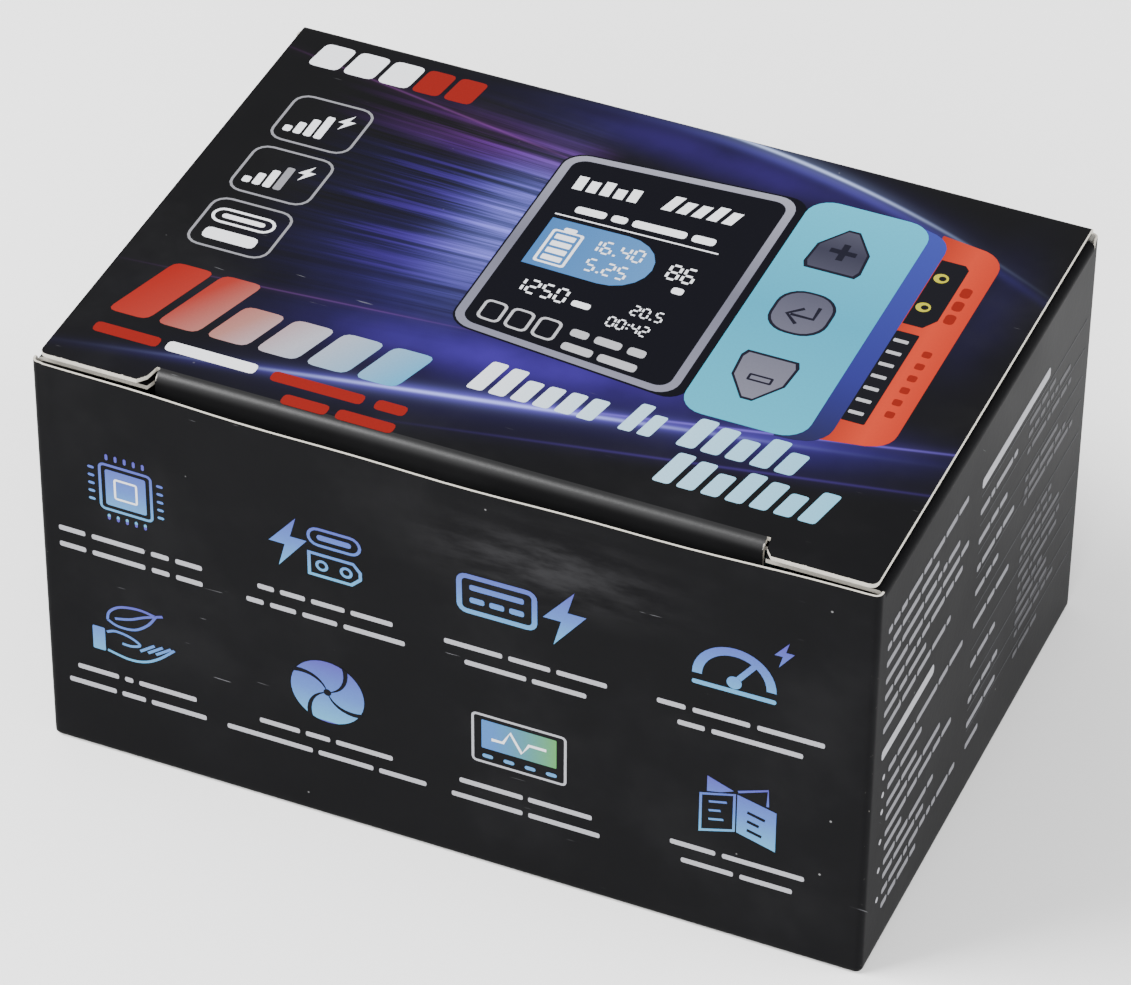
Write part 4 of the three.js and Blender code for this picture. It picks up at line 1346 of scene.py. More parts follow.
def front_print():
    art = Print(on_front)
    for n, icon in enumerate(ICONS):
        art.origin = (ICON_COLUMNS[n % 4], ICON_ROWS[n // 4])
        icon(art)
    art.origin = (0.0, 0.0)
    captions(art, CAPTIONS)
    art.build("front_picture", "carton")


def text_columns(place, name, width, seed):
    """A wall of greeked text: a paragraph, a list with bullets, and a table with thin rules."""
    dice = random.Random(seed)
    art = Print(place)
    first, second, third = 3.6, width * 0.465, width * 0.69
    for n, share in enumerate((0.97, 0.66, 0.88, 1.0, 0.95, 0.5, 0.82)):
        art.paragraph(first, first + (second - first - 4.0) * share, 54.2 - 2.72 * n, 0.95, GREY, dice)
    art.words(first, 33.4, [8], 1.6, PALE_GREY, 18.5)
    for v, bullet, share in ((29.3, 1, 1.0), (26.3, 1, 0.5), (23.4, 1, 0.42), (21.0, 0, 0.74),
                             (18.3, 1, 0.9),
                             (15.9, 0, 0.25), (13.4, 1, 0.68), (11.0, 0, 0.56), (8.3, 1, 1.0),
                             (5.9, 0, 0.46)):
        if bullet:
            art.shape(disc(first + 1.2, v + 0.6, 0.42, 12), PALE_GREY)
        art.paragraph(first + 2.9, first + 2.9 + (second - first - 6.4) * share, v, 0.95, GREY, dice)
    art.words(second, 51.9, [14], 1.6, PALE_GREY, 25.5)
    rows = ((47.6, 0.9, 2), (42.8, 0.75, 1), (38.2, 0.95, 2), (34.2, 0.55, 1), (28.7, 0.85, 3),
            (22.0, 0.65, 3),
            (15.8, 0.7, 2), (11.6, 0.7, 1), (7.9, 0.4, 1))
    for v, share, lines in rows:
        art.paragraph(second, second + (third - second - 2.0) * share, v, 0.95, GREY, dice)
        for n in range(lines):
            end = third + (width - third - 3.5) * dice.uniform(0.45, 1.0)
            art.paragraph(third, end, v + 1.4 - n * 2.1, 0.85, DIM, dice)
        art.shape(rounded(second, v + 3.1, width - 2.6, v + 3.22, 0.03, 1), DIM)
    art.build(name, "carton")


def back_print():
    """The back wall: a heading over two blocks of text, and a framed USB-C mark."""
    dice = random.Random(5)
    art = Print(on_back)
    art.words(8.0, 52.0, [4, 8, 7], 2.6, PALE_GREY, 52.0)
    art.shape(rounded(8.0, 49.4, WIDTH - 8.0, 49.55, 0.05, 1), DIM)
    for column in (8.0, 62.0):
        for n in range(12):
            art.paragraph(column, column + 44.0 * dice.uniform(0.55, 1.0), 45.0 - 2.9 * n, 1.3, GREY, dice)
    art.frame(8.0, 3.6, 21.0, 8.8, 1.0, 0.3, GREY)
    usb_symbol(art, 10.0, 4.7, 19.0, 7.7, 0.35, GREY)
    art.build("back_picture", "carton")


lid_print()
front_print()
text_columns(on_right, "right_picture", DEPTH, 2)
text_columns(on_left, "left_picture", DEPTH, 3)
back_print()


# ---------------------------------------------------------------- materials inside the carton


def foam_material():
    """Open-cell foam: pits of a fraction of a millimetre in dark grey, each painted darker towards its
    bottom as painted shade.
    """
    graph = Graph("foam")
    graph.gloss(0.05)
    pit_depth_and_painted_shade = graph.fade(graph.cells(1.5), 0.1, 0.62)
    height = graph.total(pit_depth_and_painted_shade, graph.product(graph.noise(4.0, 3.0), 0.5))
    # painted shade: the mask that deepens each pit in the bump also darkens its colour, from the pale rim
    # to the dark bottom
    tint = graph.mix(pit_depth_and_painted_shade, (0.004, 0.004, 0.005, 1), (0.02, 0.02, 0.023, 1))
    return graph.surface(tint, rough_about(graph, 0.92, 0.04), 0.0, height, 0.25)


def glass_material():
    """A black display window with faint smears on it."""
    graph = Graph("screen_glass")
    graph.gloss(0.12)
    smear = graph.fade(graph.noise(0.12, 5.0, 0.6, graph.stretch(1.0, 0.5, 1.0)), 0.42, 0.75)
    tint = graph.mix(graph.product(smear, 0.25), (0.0015, 0.0015, 0.002, 1), (0.008, 0.008, 0.01, 1))
    return graph.surface(tint, graph.linear(smear, 0.1, 0.07), 0.0, graph.noise(0.3, 2.0), 0.002)


def display_material():
    graph = Graph("lcd")
    rows = graph.math("FRACT", graph.product(graph.y, 3.0))
    tint = graph.mix(graph.fade(rows, 0.4, 0.6), (0.01, 0.011, 0.013, 1), (0.02, 0.022, 0.026, 1))
    return graph.surface(tint, rough_about(graph, 0.3, 0.04), 0.0, rows, 0.004)


def board_material():
    """A green circuit board: copper tracks under the mask, and tinned pads."""
    graph = Graph("circuit_board")
    across = graph.math("ABSOLUTE", graph.minus(graph.math("FRACT", graph.product(graph.y, 0.9)), 0.5))
    along = graph.math("ABSOLUTE", graph.minus(graph.math("FRACT", graph.product(graph.x, 0.9)), 0.5))
    where = graph.fade(graph.noise(0.22, 1.0), 0.47, 0.53)
    rows = graph.product(graph.fade(across, 0.2, 0.14), where)
    columns = graph.product(graph.fade(along, 0.2, 0.14), graph.minus(1.0, where))
    tracks = graph.math("MAXIMUM", rows, columns)
    pads = graph.fade(graph.cells(0.42), 0.2, 0.16)
    tint = graph.mix(tracks, (0.012, 0.075, 0.03, 1), (0.03, 0.16, 0.065, 1))
    tint = graph.mix(pads, tint, (0.62, 0.6, 0.52, 1))
    shine = graph.product(pads, 0.9)
    return graph.surface(tint, rough_about(graph, 0.36, 0.05), shine, graph.total(tracks, pads), 0.03)


def metal(name, colour, roughness, brushed=(6.0, 0.3, 0.3), variation=0.08, depth=0.004):
    """A metal with fine brushing along one axis."""
    graph = Graph(name)
    lines = graph.noise(1.2, 3.0, 0.6, graph.stretch(*brushed))
    rough = graph.linear(lines, 0.16, roughness - 0.08)
    return graph.surface(graph.varied(colour, variation, 0.5), rough, 1.0, lines, depth)


FOAM = foam_material()
PAPER = plain_material("paper", (0.72, 0.71, 0.68), 0.8, 0.0, 0.05, 2.0, 0.01)
RED_TUB = plain_material("red_plastic", (0.17, 0.0085, 0.004), 0.44, 0.0, 0.07, 3.4, 0.03)
RED_MARK = plain_material("red_marks", (0.08, 0.006, 0.004), 0.4, 0.0, 0.07, 3.4, 0.01)
FRAME_BLACK = plain_material("black_plastic", (0.004, 0.004, 0.005), 0.42, 0.0, 0.15, 3.4, 0.02)
BEZEL_GREY = plain_material("grey_plastic", (0.085, 0.085, 0.105), 0.32, 0.0, 0.08, 3.0, 0.006)
SKY_COVER = plain_material("blue_plastic", (0.05, 0.24, 0.31), 0.38, 0.0, 0.05, 3.0, 0.01)
KEY_GREY = plain_material("key_plastic", (0.04, 0.04, 0.06), 0.36, 0.0, 0.08, 3.0, 0.006)
KEY_MARK = plain_material("key_marks", (0.01, 0.01, 0.015), 0.4, 0.0, 0.1, 3.0, 0.006)
GLASS = glass_material()
DISPLAY = display_material()
CIRCUIT = board_material()
CHIP = plain_material("chip_plastic", (0.014, 0.014, 0.015), 0.5, 0.0, 0.2, 5.0, 0.01)
FERRITE = plain_material("ferrite", (0.03, 0.03, 0.032), 0.68, 0.0, 0.25, 4.0, 0.02)
FAN_BLACK = plain_material("fan_plastic", (0.016, 0.016, 0.018), 0.34, 0.0, 0.12, 3.0, 0.006)
CONNECTOR = plain_material("connector_plastic", (0.018, 0.018, 0.02), 0.4, 0.0, 0.15, 3.0, 0.008)
RUBBER = plain_material("foot_rubber", (0.02, 0.02, 0.02), 0.82, 0.0, 0.2, 4.0, 0.03)
GOLD = metal("gold_contact", (0.86, 0.58, 0.2), 0.24)
TIN = metal("tin_pin", (0.66, 0.65, 0.62), 0.3)
STEEL = metal("screw_steel", (0.5, 0.5, 0.51), 0.32)
ALUMINIUM = metal("heat_sink_metal", (0.62, 0.63, 0.65), 0.34)
CAN = metal("switch_metal", (0.6, 0.6, 0.6), 0.36)
COPPER = metal("copper", (0.7, 0.3, 0.14), 0.3, (0.4, 0.4, 5.0))
READOUT_WHITE = ink("readout_white", (0.5, 0.52, 0.54), 0.3)
READOUT_DIM = ink("readout_dim", (0.2, 0.21, 0.22), 0.3)
READOUT_BLUE = ink("readout_blue", (0.035, 0.12, 0.3), 0.3)


# ---------------------------------------------------------------- shapes for the charger


def loft(mesh, loops, slots=None, ring=False):
    """A closed body through loops of places. It has a cap at each end, unless it is a ring."""
    rows = [[mesh.point(place) for place in loop] for loop in loops]
    count = len(rows[0])
    slots = slots or [0] * len(rows)
    for a in range(len(rows) if ring else len(rows) - 1):
        b = (a + 1) % len(rows)
        for n in range(count):
            after = (n + 1) % count
            mesh.face([rows[a][n], rows[a][after], rows[b][after], rows[b][n]], slots[a])
    if not ring:
        mesh.face(rows[0][::-1], slots[0])
        mesh.face(rows[-1], slots[-1])


def turned(mesh, profile, centre, axis="z", sides=32, slots=None, ring=False):
    """A body turned about an axis through centre. profile holds (radius, place along the axis)."""
    loops = []
    for radius, along in profile:
        circle = disc(0, 0, max(radius, 0.002), sides)
        if axis == "z":
            loops.append([(centre[0] + u, centre[1] + v, along) for u, v in circle])
        else:
            loops.append([(along, centre[0] + u, centre[1] + v) for u, v in circle])
    loft(mesh, loops, slots, ring)


def middle_of(node):
    low, high = box_mm(node)
    return (low + high) / 2, low, high


# ---------------------------------------------------------------- the charger's case


def outer_edge(node, corner):
    """A function of a place: 1 on the node's round-cornered outline, and 0 a little inside it."""
    middle, low, high = middle_of(node)

    def nearness(place):
        qx = abs(place.x - middle.x) - (high.x - low.x) / 2 + corner
        qy = abs(place.y - middle.y) - (high.y - low.y) / 2 + corner
        inside = math.hypot(max(qx, 0), max(qy, 0)) + min(max(qx, qy), 0) - corner
        return 1.0 if inside > -0.15 else 0.0

    return nearness


def rear_shell():
    """The red tub: a soft edge round its floor, and small ones at its windows."""
    rim = outer_edge("rear_shell", 6.0)
    floor = box_mm("rear_shell")[0].z
    weigh = lambda place: 1.0 if rim(place) and place.z < floor + 0.1 else 0.2
    refined("rear_shell", "charger", RED_TUB, 1.0, 4, weigh=weigh)


def front_frame():
    rim = outer_edge("front_frame", 4.5)
    weigh = lambda place: 0.8 if rim(place) else 0.5
    refined("front_frame", "charger", FRAME_BLACK, 0.3, 2, weigh=weigh)


def key_cover():
    """The blue cover: its top edge is soft, and each key's hole has a small one."""
    rim = outer_edge("button_cover", 5.5)
    top = box_mm("button_cover")[1].z
    weigh = lambda place: 1.0 if rim(place) and place.z > top - 0.1 else 0.22
    refined("button_cover", "charger", SKY_COVER, 1.3, 5, weigh=weigh)


SCREEN_RING = 1.7
SCREEN_CORNER = 4.5


def screen_outline(inset):
    low, high = box_mm("screen_bezel")
    return rounded(low.x + inset, low.y + inset, high.x - inset, high.y - inset,
                   SCREEN_CORNER - inset * 0.85, 8)


def level(outline, z):
    return [(u, v, z) for u, v in outline]


def screen_bezel():
    low, high = box_mm("screen_bezel")
    stops = [(0.0, low.z), (0.0, high.z - 0.35), (0.1, high.z - 0.1), (0.35, high.z),
             (SCREEN_RING - 0.5, high.z),
             (SCREEN_RING - 0.15, high.z - 0.1), (SCREEN_RING, high.z - 0.35), (SCREEN_RING, low.z)]
    mesh = Mesh()
    loft(mesh, [level(screen_outline(inset), z) for inset, z in stops], ring=True)
    stands_for(mesh.build("screen_ring", [BEZEL_GREY], 50), "screen_bezel", "charger")


def screen_window():
    low, high = box_mm("screen_window")
    edge = SCREEN_RING + 0.1
    mesh = Mesh()
    loft(mesh, [
        level(screen_outline(edge), low.z),
        level(screen_outline(edge), high.z - 0.12),
        level(screen_outline(edge + 0.12), high.z),
    ])
    stands_for(mesh.build("screen_pane", [GLASS], 30), "screen_window", "charger")


def display_module():
    """The display behind the window: a folded steel tray with a rim, and the glass set back in it."""
    low, high = box_mm("lcd_module")

    def outline(inset):
        return rounded(low.x + inset, low.y + inset, high.x - inset, high.y - inset, 1.2 - inset / 2, 3)

    stops = [(0.2, low.z), (0.0, low.z + 0.2), (0.0, high.z - 0.25), (0.2, high.z), (1.1, high.z),
             (1.3, high.z - 0.35)]
    mesh = Mesh()
    loft(mesh, [level(outline(inset), z) for inset, z in stops], [0, 0, 0, 0, 0, 1])
    stands_for(mesh.build("lcd_tray", [STEEL, DISPLAY], 40), "lcd_module", "charger")


def screen_readouts():
    """What the display shows, on the window."""
    low, high = box_mm("screen_bezel")
    top = box_mm("screen_window")[1].z
    art = Print(facing_up(0.0, 0.0, top))
    wide = (high.x - low.x) / PICTURE_WIDE
    deep = (high.y - low.y) / PICTURE_HIGH
    warp = lambda point: (low.x + point[0] * wide, low.y + point[1] * deep)
    screen_picture(art, warp, (READOUT_WHITE, READOUT_DIM, READOUT_BLUE, READOUT_WHITE, READOUT_DIM))
    art.build("screen_readouts", "charger", "lcd")


KEY_CENTRES = {"plus": 17.0, "enter": 0.0, "minus": -17.0}  # y of each key's middle


def key_piece(kind):
    """A key: a flange under the cover, and a cap with a soft edge, a shallow dish and its sign."""
    middle, low, high = middle_of("button_" + kind)
    half = 5.65
    if kind == "enter":
        outline = rounded(-half, -half, half, half, 4.2, 10)
    else:
        sign = 1 if kind == "plus" else -1
        corners = [(-half + 0.6, -half), (half - 0.6, -half), (half, -half + 1.4),
                   (half * 0.92, half * 0.18),
                   (1.3, half), (-1.3, half), (-half * 0.92, half * 0.18), (-half, -half + 1.4)]
        corners = [(u, sign * v) for u, v in corners]
        outline = softened(corners if sign > 0 else corners[::-1], 0.7)
    centre_y = KEY_CENTRES[kind]
    top = high.z
    shapes = [
        (grown(outline, 0.85), low.z), (grown(outline, 0.85), low.z + 0.48), (outline, low.z + 0.52),
        (outline, top - 0.55), (grown(outline, -0.1), top - 0.3), (grown(outline, -0.32), top - 0.1),
        (grown(outline, -0.65), top), (moved(outline, 0, 0, 0.7), top - 0.08),
        (moved(outline, 0, 0, 0.4), top - 0.16),
    ]
    mesh = Mesh()
    loft(mesh, [[(middle.x + u, centre_y + v, z) for u, v in shape] for shape, z in shapes])
    place = facing_up(middle.x, centre_y, top - 0.16)
    if kind == "plus":
        mesh.band(plus_outline(0, -0.5, 2.7, 1.9), plus_outline(0, -0.5, 2.3, 1.1), place, -0.1, 0.13, 1)
    elif kind == "minus":
        outer = rounded(-2.6, -0.4, 2.6, 1.4, 0.2)
        mesh.band(outer, rounded(-2.2, 0.0, 2.2, 1.0, 0.1), place, -0.1, 0.13, 1)
    else:
        mesh.plate(stroked([(2.6, 2.3), (2.6, -0.8), (-1.6, -0.8)], 0.7), place, -0.1, 0.13, 1)
        mesh.plate([(-2.9, -0.8), (-1.1, -2.5), (-1.1, 0.9)], place, -0.1, 0.13, 1)
    piece = mesh.build("key_" + kind + "_cap", [KEY_GREY, KEY_MARK], 40)
    stands_for(piece, "button_" + kind, "key_" + kind)


def end_marks():
    """Numbers for the balance socket's cells, and plus and minus signs, moulded into the red ends."""
    right = box_mm("rear_shell")[1].x
    left = box_mm("rear_shell")[0].x
    header, low, _ = middle_of("balance_header")
    art = Print(lambda u, v, h: (right + h * 3, u, v))
    for n in range(6):
        reading(art, str(n + 1), header.y + (n - 2.5) * 2.5 - 0.35, low.z - 3.0, 1.6, RED_MARK, 1, 0.16)
    socket, low, _ = middle_of("output_socket")
    art.shape(plus_outline(socket.y + 3.6, low.z - 2.2, 0.95, 0.42), RED_MARK)
    art.shape(rounded(socket.y - 4.55, low.z - 2.4, socket.y - 2.65, low.z - 2.0, 0.1), RED_MARK)
    other = Print(lambda u, v, h: (left - h * 3, -u, v))
    other.shape(plus_outline(-socket.y - 3.6, low.z - 2.2, 0.95, 0.42), RED_MARK)
    other.shape(rounded(-socket.y + 2.65, low.z - 2.4, -socket.y + 4.55, low.z - 2.0, 0.1), RED_MARK)
    usb_symbol(other, 6.6, low.z - 3.2, 11.4, low.z - 1.4, 0.25, RED_MARK)
    art.build("output_end_marks", "charger", "red_plastic")
    other.build("input_end_marks", "charger", "red_plastic")


def foot(index):
    middle, low, high = middle_of(f"rubber_foot_{index}")
    radius = (high.x - low.x) / 2
    profile = [(0, low.z), (radius - 0.7, low.z), (radius - 0.25, low.z + 0.12),
               (radius - 0.03, low.z + 0.4),
               (radius, high.z - 0.05), (0, high.z - 0.05)]
    mesh = Mesh()
    turned(mesh, profile, middle, "z", 36)
    piece = mesh.build(f"foot_{index}_pad", [RUBBER], 50)
    stands_for(piece, f"rubber_foot_{index}", "charger")


def screw(index):
    """A pan-head screw with a cross recess and a threaded shank, driven from below."""
    middle, low, high = middle_of(f"shell_screw_{index}")
    radius = (high.x - low.x) / 2
    head = 1.4
    count = 48
    rim, cross = [], []
    for n in range(count):
        angle = 2 * math.pi * n / count
        c, s = abs(math.cos(angle)) + 1e-6, abs(math.sin(angle)) + 1e-6
        reach = max(min(0.95 / c, 0.26 / s), min(0.26 / c, 0.95 / s))
        rim.append((math.cos(angle), math.sin(angle)))
        cross.append((reach * math.cos(angle), reach * math.sin(angle)))
    lay = lambda points, scale, z: [(middle.x + u * scale, middle.y + v * scale, z) for u, v in points]
    mesh = Mesh()
    loft(mesh, [
        lay(cross, 0.6, low.z + 0.85), lay(cross, 1.0, low.z), lay(rim, radius - 0.45, low.z),
        lay(rim, radius - 0.14, low.z + 0.16), lay(rim, radius, low.z + 0.5),
        lay(rim, radius, low.z + head),
        lay(rim, 0.95, low.z + head),
    ])
    shank = [(0, low.z + head - 0.02)]
    z = low.z + head - 0.02
    while z < high.z - 1.0:
        shank += [(0.68, z), (0.95, z + 0.22), (0.95, z + 0.3), (0.68, z + 0.52)]
        z += 0.62
    turned(mesh, [*shank, (0.5, high.z - 0.3), (0, high.z)], middle, "z", 24)
    piece = mesh.build(f"screw_{index}_body", [STEEL], 30)
    stands_for(piece, f"shell_screw_{index}", "charger")


rear_shell()
front_frame()
key_cover()
screen_bezel()
screen_window()
display_module()
screen_readouts()
end_marks()
for kind in ("plus", "enter", "minus"):
    key_piece(kind)
for index in (1, 2, 3, 4):
    foot(index)
    screw(index)


# ---------------------------------------------------------------- the connectors


def contact_tube(which):
    """A hollow gold contact with a small lead-in at its mouth."""
    node = "output_contact_" + which
    middle, low, high = middle_of(node)
    outer = (high.y - low.y) / 2
    inner = outer - 0.6
    profile = [(inner, low.x), (outer, low.x), (outer, high.x - 0.2), (outer - 0.12, high.x),
               (inner + 0.25, high.x),
               (inner, high.x - 0.35)]
    mesh = Mesh()
    turned(mesh, profile, (middle.y, middle.z), "x", 32, ring=True)
    stands_for(mesh.build(node + "_tube", [GOLD], 40), node, "charger")


def input_pin(which):
    """A bullet pin with a round nose and a groove behind it."""
    node = "input_pin_" + which
    middle, low, high = middle_of(node)
    radius = (high.z - low.z) / 2
    profile = [(0, low.x), (radius * 0.55, low.x + 0.06), (radius * 0.88, low.x + 0.4),
               (radius, low.x + 1.0),
               (radius, low.x + 5.4), (radius - 0.25, low.x + 5.7), (radius - 0.25, low.x + 6.3),
               (radius, low.x + 6.6), (radius, high.x - 0.1), (0, high.x)]
    mesh = Mesh()
    turned(mesh, profile, (middle.y, middle.z), "x", 32)
    stands_for(mesh.build(node + "_body", [GOLD], 40), node, "charger")


def usb_shell():
    low, high = box_mm("usb_c_shell")
    radius = (high.z - low.z) / 2

    def loop(inset, x):
        outline = rounded(low.y + inset, low.z + inset, high.y - inset, high.z - inset, radius - inset, 8)
        return [(x, u, v) for u, v in outline]

    mesh = Mesh()
    stops = [(0.0, high.x), (0.0, low.x + 0.12), (0.1, low.x), (0.22, low.x), (0.3, low.x + 0.1),
             (0.3, high.x)]
    loft(mesh, [loop(inset, x) for inset, x in stops], ring=True)
    stands_for(mesh.build("usb_c_can", [CAN], 40), "usb_c_shell", "charger")


def usb_tongue():
    """The tongue, with its row of contacts on both faces."""
    low, high = box_mm("usb_c_tongue")
    middle = (low + high) / 2
    mesh = Mesh()

    def brick(x0, x1, y0, y1, z0, z1, slot, ease=0.08):
        outline = rounded(y0, z0, y1, z1, ease, 2)
        inner = rounded(y0 + ease, z0 + ease, y1 - ease, z1 - ease, 0.02, 2)
        loops = [[(x0, u, v) for u, v in inner], [(x0 + ease, u, v) for u, v in outline],
                 [(x1 - ease, u, v) for u, v in outline], [(x1, u, v) for u, v in inner]]
        loft(mesh, loops, [slot] * 4)

    brick(low.x, high.x - 2.1, low.y, high.y, middle.z - 0.35, middle.z + 0.35, 0)
    brick(high.x - 2.2, high.x, low.y + 0.3, high.y - 0.3, low.z, high.z, 0)
    for n in range(12):
        y = middle.y + (n - 5.5) * 0.5
        for z in (middle.z + 0.36, middle.z - 0.36):
            brick(low.x + 0.8, high.x - 2.3, y - 0.13, y + 0.13, z - 0.03, z + 0.03, 1, 0.02)
    piece = mesh.build("usb_c_contacts", [CONNECTOR, GOLD], 30)
    stands_for(piece, "usb_c_tongue", "charger")


def balance_pin(index):
    """A square pin with a tapered tip."""
    node = f"balance_pin_{index}"
    middle, low, high = middle_of(node)
    half = (high.y - low.y) / 2
    mesh = Mesh()
    loops = []
    for x, share in ((low.x, 0.96), (low.x + 0.05, 1.0), (high.x - 0.6, 1.0), (high.x - 0.08, 0.55),
                     (high.x, 0.4)):
        size = half * share
        outline = rounded(middle.y - size, middle.z - size, middle.y + size, middle.z + size, 0.06, 2)
        loops.append([(x, u, v) for u, v in outline])
    loft(mesh, loops)
    stands_for(mesh.build(node + "_post", [TIN], 35), node, "charger")


for which in ("negative", "positive"):
    contact_tube(which)
    input_pin(which)
usb_shell()
usb_tongue()
for index in range(1, 8):
    balance_pin(index)
refined("output_socket", "charger", CONNECTOR, 0.25, 2)
refined("input_socket", "charger", CONNECTOR, 0.25, 2)
refined("balance_header", "charger", CONNECTOR, 0.12, 2)


# ---------------------------------------------------------------- the fan and the electronics


def fan_rotor():
    """A hub with a shallow dish, and seven curved blades."""
    middle, low, high = middle_of("fan_rotor")
    tip = (high.x - low.x) / 2
    hub = 6.5
    mesh = Mesh()
    profile = [(0, low.z + 0.1), (hub - 0.5, low.z + 0.1), (hub, low.z + 0.5), (hub, high.z - 0.5),
               (hub - 0.15, high.z - 0.15), (hub - 0.5, high.z), (hub - 1.4, high.z),
               (hub - 1.7, high.z - 0.3), (0, high.z - 0.35)]
    turned(mesh, profile, middle, "z", 48)
    blades, spread, thickness = 7, 0.62, 0.5
    for blade in range(blades):
        grid = []
        for radius in steps(hub - 0.4, tip - 0.05, 6):
            out = max(0.0, (radius - hub) / (tip - hub))
            chord = spread * (1 - 0.25 * out)
            row = []
            for share in steps(0.0, 1.0, 8):
                angle = 2 * math.pi * blade / blades + 0.35 * out ** 1.5 + (share - 0.5) * chord
                rise = (share - 0.5) * 3.7 * (1 - 0.2 * out) + 0.5 * math.sin(math.pi * share)
                taper = 0.25 + 0.75 * math.sin(math.pi * (0.08 + 0.84 * share))
                x, y = middle.x + radius * math.cos(angle), middle.y + radius * math.sin(angle)
                z = middle.z + rise - 0.1
                row.append(((x, y, z + thickness * taper / 2), (x, y, z - thickness * taper / 2), 0.0))
            grid.append(row)
        slots_before = len(mesh.slots)
        mesh.sheet(grid)
        mesh.slots[slots_before:] = [0] * (len(mesh.slots) - slots_before)
    stands_for(mesh.build("fan_wheel", [FAN_BLACK], 40), "fan_rotor", "fan")


def capacitor(index):
    """An electrolytic capacitor: a sleeve with a crimp groove, and a bare metal top."""
    node = f"capacitor_{index}"
    middle, low, high = middle_of(node)
    radius = (high.x - low.x) / 2
    profile = [(0, low.z), (radius - 0.4, low.z), (radius, low.z + 0.4), (radius, low.z + 1.3),
               (radius - 0.35, low.z + 1.6),
               (radius - 0.35, low.z + 1.8), (radius, low.z + 2.1), (radius, high.z - 0.35),
               (radius - 0.12, high.z - 0.1),
               (radius - 0.5, high.z), (radius - 0.9, high.z - 0.12), (0, high.z - 0.12)]
    mesh = Mesh()
    turned(mesh, profile, middle, "z", 40, [0] * 9 + [1] * 3)
    for turn in (0, 90):
        along = Matrix.Rotation(math.radians(turn + 20), 2)
        outline = [tuple(along @ Vector(p)) for p in rounded(-2.4, -0.12, 2.4, 0.12, 0.1)]
        mesh.plate(outline, facing_up(middle.x, middle.y, high.z - 0.12), -0.05, 0.05, 2)
    piece = mesh.build(node + "_can", [FRAME_BLACK, ALUMINIUM, CHIP], 40)
    stands_for(piece, node, "charger")


def beeper():
    middle, low, high = middle_of("beeper")
    radius = (high.x - low.x) / 2
    mesh = Mesh()
    profile = [(0, low.z), (radius - 0.15, low.z), (radius, low.z + 0.2), (radius, high.z - 0.3),
               (radius - 0.3, high.z), (1.0, high.z), (0.85, high.z - 0.15), (0.85, high.z - 1.2),
               (0, high.z - 1.2)]
    turned(mesh, profile, middle, "z", 40)
    stands_for(mesh.build("beeper_case", [CHIP], 35), "beeper", "charger")


def inductor():
    """A ferrite bobbin, wound with turns of copper wire."""
    middle, low, high = middle_of("inductor_core")
    radius = (high.x - low.x) / 2
    flange = 1.5
    mesh = Mesh()
    profile = [(0, low.z), (radius - 0.3, low.z), (radius, low.z + 0.3), (radius, low.z + flange - 0.2),
               (radius - 0.2, low.z + flange), (3.0, low.z + flange), (3.0, high.z - flange),
               (radius - 0.2, high.z - flange), (radius, high.z - flange + 0.2), (radius, high.z - 0.3),
               (radius - 0.3, high.z), (1.2, high.z), (0.9, high.z - 0.3), (0, high.z - 0.3)]
    turned(mesh, profile, middle, "z", 48)
    stands_for(mesh.build("inductor_bobbin", [FERRITE], 35), "inductor_core", "charger")
    middle, low, high = middle_of("inductor_coil")
    radius = (high.x - low.x) / 2
    turns = 7
    wire = (high.z - low.z) / turns / 2
    profile = [(3.3, low.z)]
    for n in range(turns):
        centre = low.z + wire * (2 * n + 1)
        for angle in steps(-80, 80, 6):
            turn = math.radians(angle)
            profile.append((radius - wire + wire * math.cos(turn), centre + wire * math.sin(turn)))
    profile.append((3.3, high.z))
    mesh = Mesh()
    turned(mesh, profile, middle, "z", 48, ring=True)
    stands_for(mesh.build("inductor_winding", [COPPER], 60), "inductor_coil", "charger")


def chip(node, leads, both_ways=False):
    """A chip: a body with drafted sides, a dot at its first lead, and bent leads on two or four sides."""
    middle, low, high = middle_of(node)
    half_x, half_y = (high.x - low.x) / 2, (high.y - low.y) / 2
    waist = (low.z + high.z) / 2
    loops = []
    for inset, z in ((0.12, low.z + 0.06), (0.0, waist - 0.04), (0.0, waist + 0.04), (0.14, high.z - 0.05),
                     (0.2, high.z)):
        outline = rounded(-half_x + inset, -half_y + inset, half_x - inset, half_y - inset, 0.12, 2)
        loops.append([(middle.x + u, middle.y + v, z) for u, v in outline])
    mesh = Mesh()
    loft(mesh, loops)
    place = facing_up(middle.x, middle.y, high.z)
    mesh.plate(disc(-half_x + 0.9, half_y - 0.9, 0.28, 16), place, -0.02, 0.01, 2)
    width = 0.34

    def lead(turn, along, reach):
        """A gull-wing lead that leaves the side at that turn, that far along it."""
        grid = []
        rise = waist - low.z
        for out, z in ((-0.2, rise), (0.25, rise), (0.42, rise - 0.12), (0.5, 0.12), (0.62, 0.06),
                       (0.95, 0.06)):
            row = []
            for side in (-width / 2, width / 2):
                flat = Matrix.Rotation(turn, 2) @ Vector((reach + out, along + side))
                x, y = middle.x + flat.x, middle.y + flat.y
                row.append(((x, y, low.z + z + 0.05), (x, y, low.z + z - 0.05), 0.0))
            grid.append(row)
        before = len(mesh.slots)
        mesh.sheet(grid)
        mesh.slots[before:] = [1] * (len(mesh.slots) - before)

    for turn in range(4 if both_ways else 2):
        angle = math.radians(turn * 90) if both_ways else math.radians(90 + turn * 180)
        room = half_x if abs(math.sin(angle)) > 0.5 else half_y
        reach = half_y if abs(math.sin(angle)) > 0.5 else half_x
        for n in range(leads):
            lead(angle, (n - (leads - 1) / 2) * (2 * room - 0.8) / max(1, leads - 1), reach)
    piece = mesh.build(node + "_package", [CHIP, TIN, PAPER], 30)
    stands_for(piece, node, "charger")


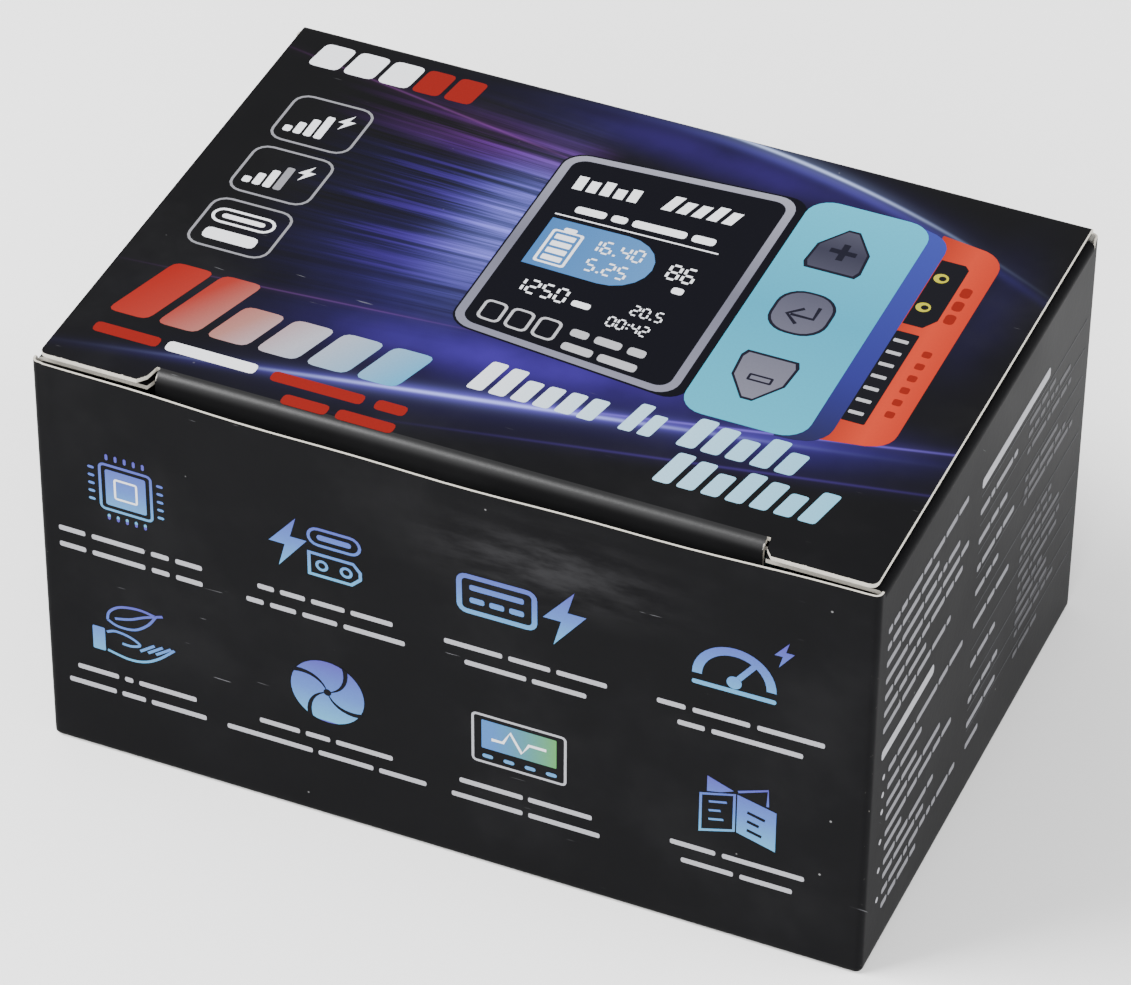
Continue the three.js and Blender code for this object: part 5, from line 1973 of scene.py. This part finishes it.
def tact_switch(kind):
    """A small switch: a base, a metal cover with a round actuator through it."""
    node = "tact_switch_" + kind
    middle, low, high = middle_of(node)
    half = (high.x - low.x) / 2
    mesh = Mesh()
    loops = []
    for inset, z in ((0.05, low.z), (0.0, low.z + 0.05), (0.0, high.z - 0.3), (0.1, high.z - 0.25),
                     (0.1, high.z - 0.06),
                     (0.16, high.z)):
        outline = rounded(-half + inset, -half + inset, half - inset, half - inset, 0.25, 3)
        loops.append([(middle.x + u, middle.y + v, z) for u, v in outline])
    loft(mesh, loops, [1, 1, 1, 0, 0, 0])
    profile = [(0, high.z - 0.1), (1.2, high.z - 0.1), (1.2, high.z + 0.08), (1.1, high.z + 0.13),
               (0, high.z + 0.13)]
    turned(mesh, profile, middle, "z", 28, [1] * 5)
    stands_for(mesh.build(node + "_case", [CAN, CHIP], 30), node, "charger")


fan_rotor()
refined("fan_frame", "charger", FAN_BLACK, 0.3, 2)
for index in (1, 2):
    capacitor(index)
beeper()
inductor()
chip("microcontroller", 12, both_ways=True)
for index in (1, 2, 3, 4):
    chip(f"mosfet_{index}", 4)
for kind in ("plus", "enter", "minus"):
    tact_switch(kind)
refined("heat_sink", "charger", ALUMINIUM, 0.2, 2)
refined("main_board", "charger", CIRCUIT, 0.08, 1)
refined("button_board", "charger", CIRCUIT, 0.08, 1)
refined("foam_insert", "carton", FOAM, 0.8, 3)
refined("user_leaflet", "carton", PAPER, 0.1, 1)

# ---------------------------------------------------------------- the stage, the lights and the camera


def stage():
    """A pale floor, wide enough to fill every view."""
    data = bpy.data.meshes.new("floor")
    far = 6.0
    data.from_pydata([(-far, -far, 0), (far, -far, 0), (far, far, 0), (-far, far, 0)], [], [(0, 1, 2, 3)])
    graph = Graph("floor_paint")
    graph.surface(graph.varied((0.93, 0.93, 0.93), 0.015, 0.01), 0.7)
    data.materials.append(graph.material)
    floor = bpy.data.objects.new("floor", data)
    floor.location.z = -0.0002  # just under the carton, so that the two never share a plane
    bpy.context.scene.collection.objects.link(floor)


def softbox(name, place, aim, size, power, colour=(1.0, 1.0, 1.0)):
    lamp = bpy.data.lights.new(name, "AREA")
    lamp.shape = "RECTANGLE"
    lamp.size, lamp.size_y = size
    lamp.energy = power
    lamp.color = colour
    holder = bpy.data.objects.new(name, lamp)
    holder.location = place
    holder.rotation_euler = (Vector(aim) - Vector(place)).to_track_quat("-Z", "Y").to_euler()
    bpy.context.scene.collection.objects.link(holder)


def lights():
    softbox("key", (-0.9, -0.5, 1.2), (0, 0, 0.03), (0.8, 0.8), 56.0)
    softbox("right", (1.3, 0.35, 0.5), (0, 0, 0.03), (0.7, 0.5), 20.0)
    softbox("front", (0.35, -1.4, 0.9), (0, 0, 0.03), (0.9, 0.5), 22.0)
    world = bpy.data.worlds.new("studio")
    world.use_nodes = True
    world.node_tree.nodes["Background"].inputs["Color"].default_value = (1.0, 1.0, 1.0, 1)
    world.node_tree.nodes["Background"].inputs["Strength"].default_value = 0.9
    bpy.context.scene.world = world


def camera():
    """Looks down at 39 degrees from the front right."""
    place = Vector((0.23053, -0.54924, 0.51811))
    aim = Vector((-0.00034, -0.00102, 0.03101))
    lens = bpy.data.cameras.new("camera")
    lens.sensor_width = 36.0
    lens.lens = 185.85
    lens.clip_end = 50.0
    holder = bpy.data.objects.new("camera", lens)
    holder.rotation_mode = "QUATERNION"
    roll = Quaternion((0, 0, 1), math.radians(0.64))
    holder.rotation_quaternion = (aim - place).to_track_quat("-Z", "Y") @ roll
    holder.location = place
    bpy.context.scene.collection.objects.link(holder)
    bpy.context.scene.camera = holder


stage()
lights()
camera()
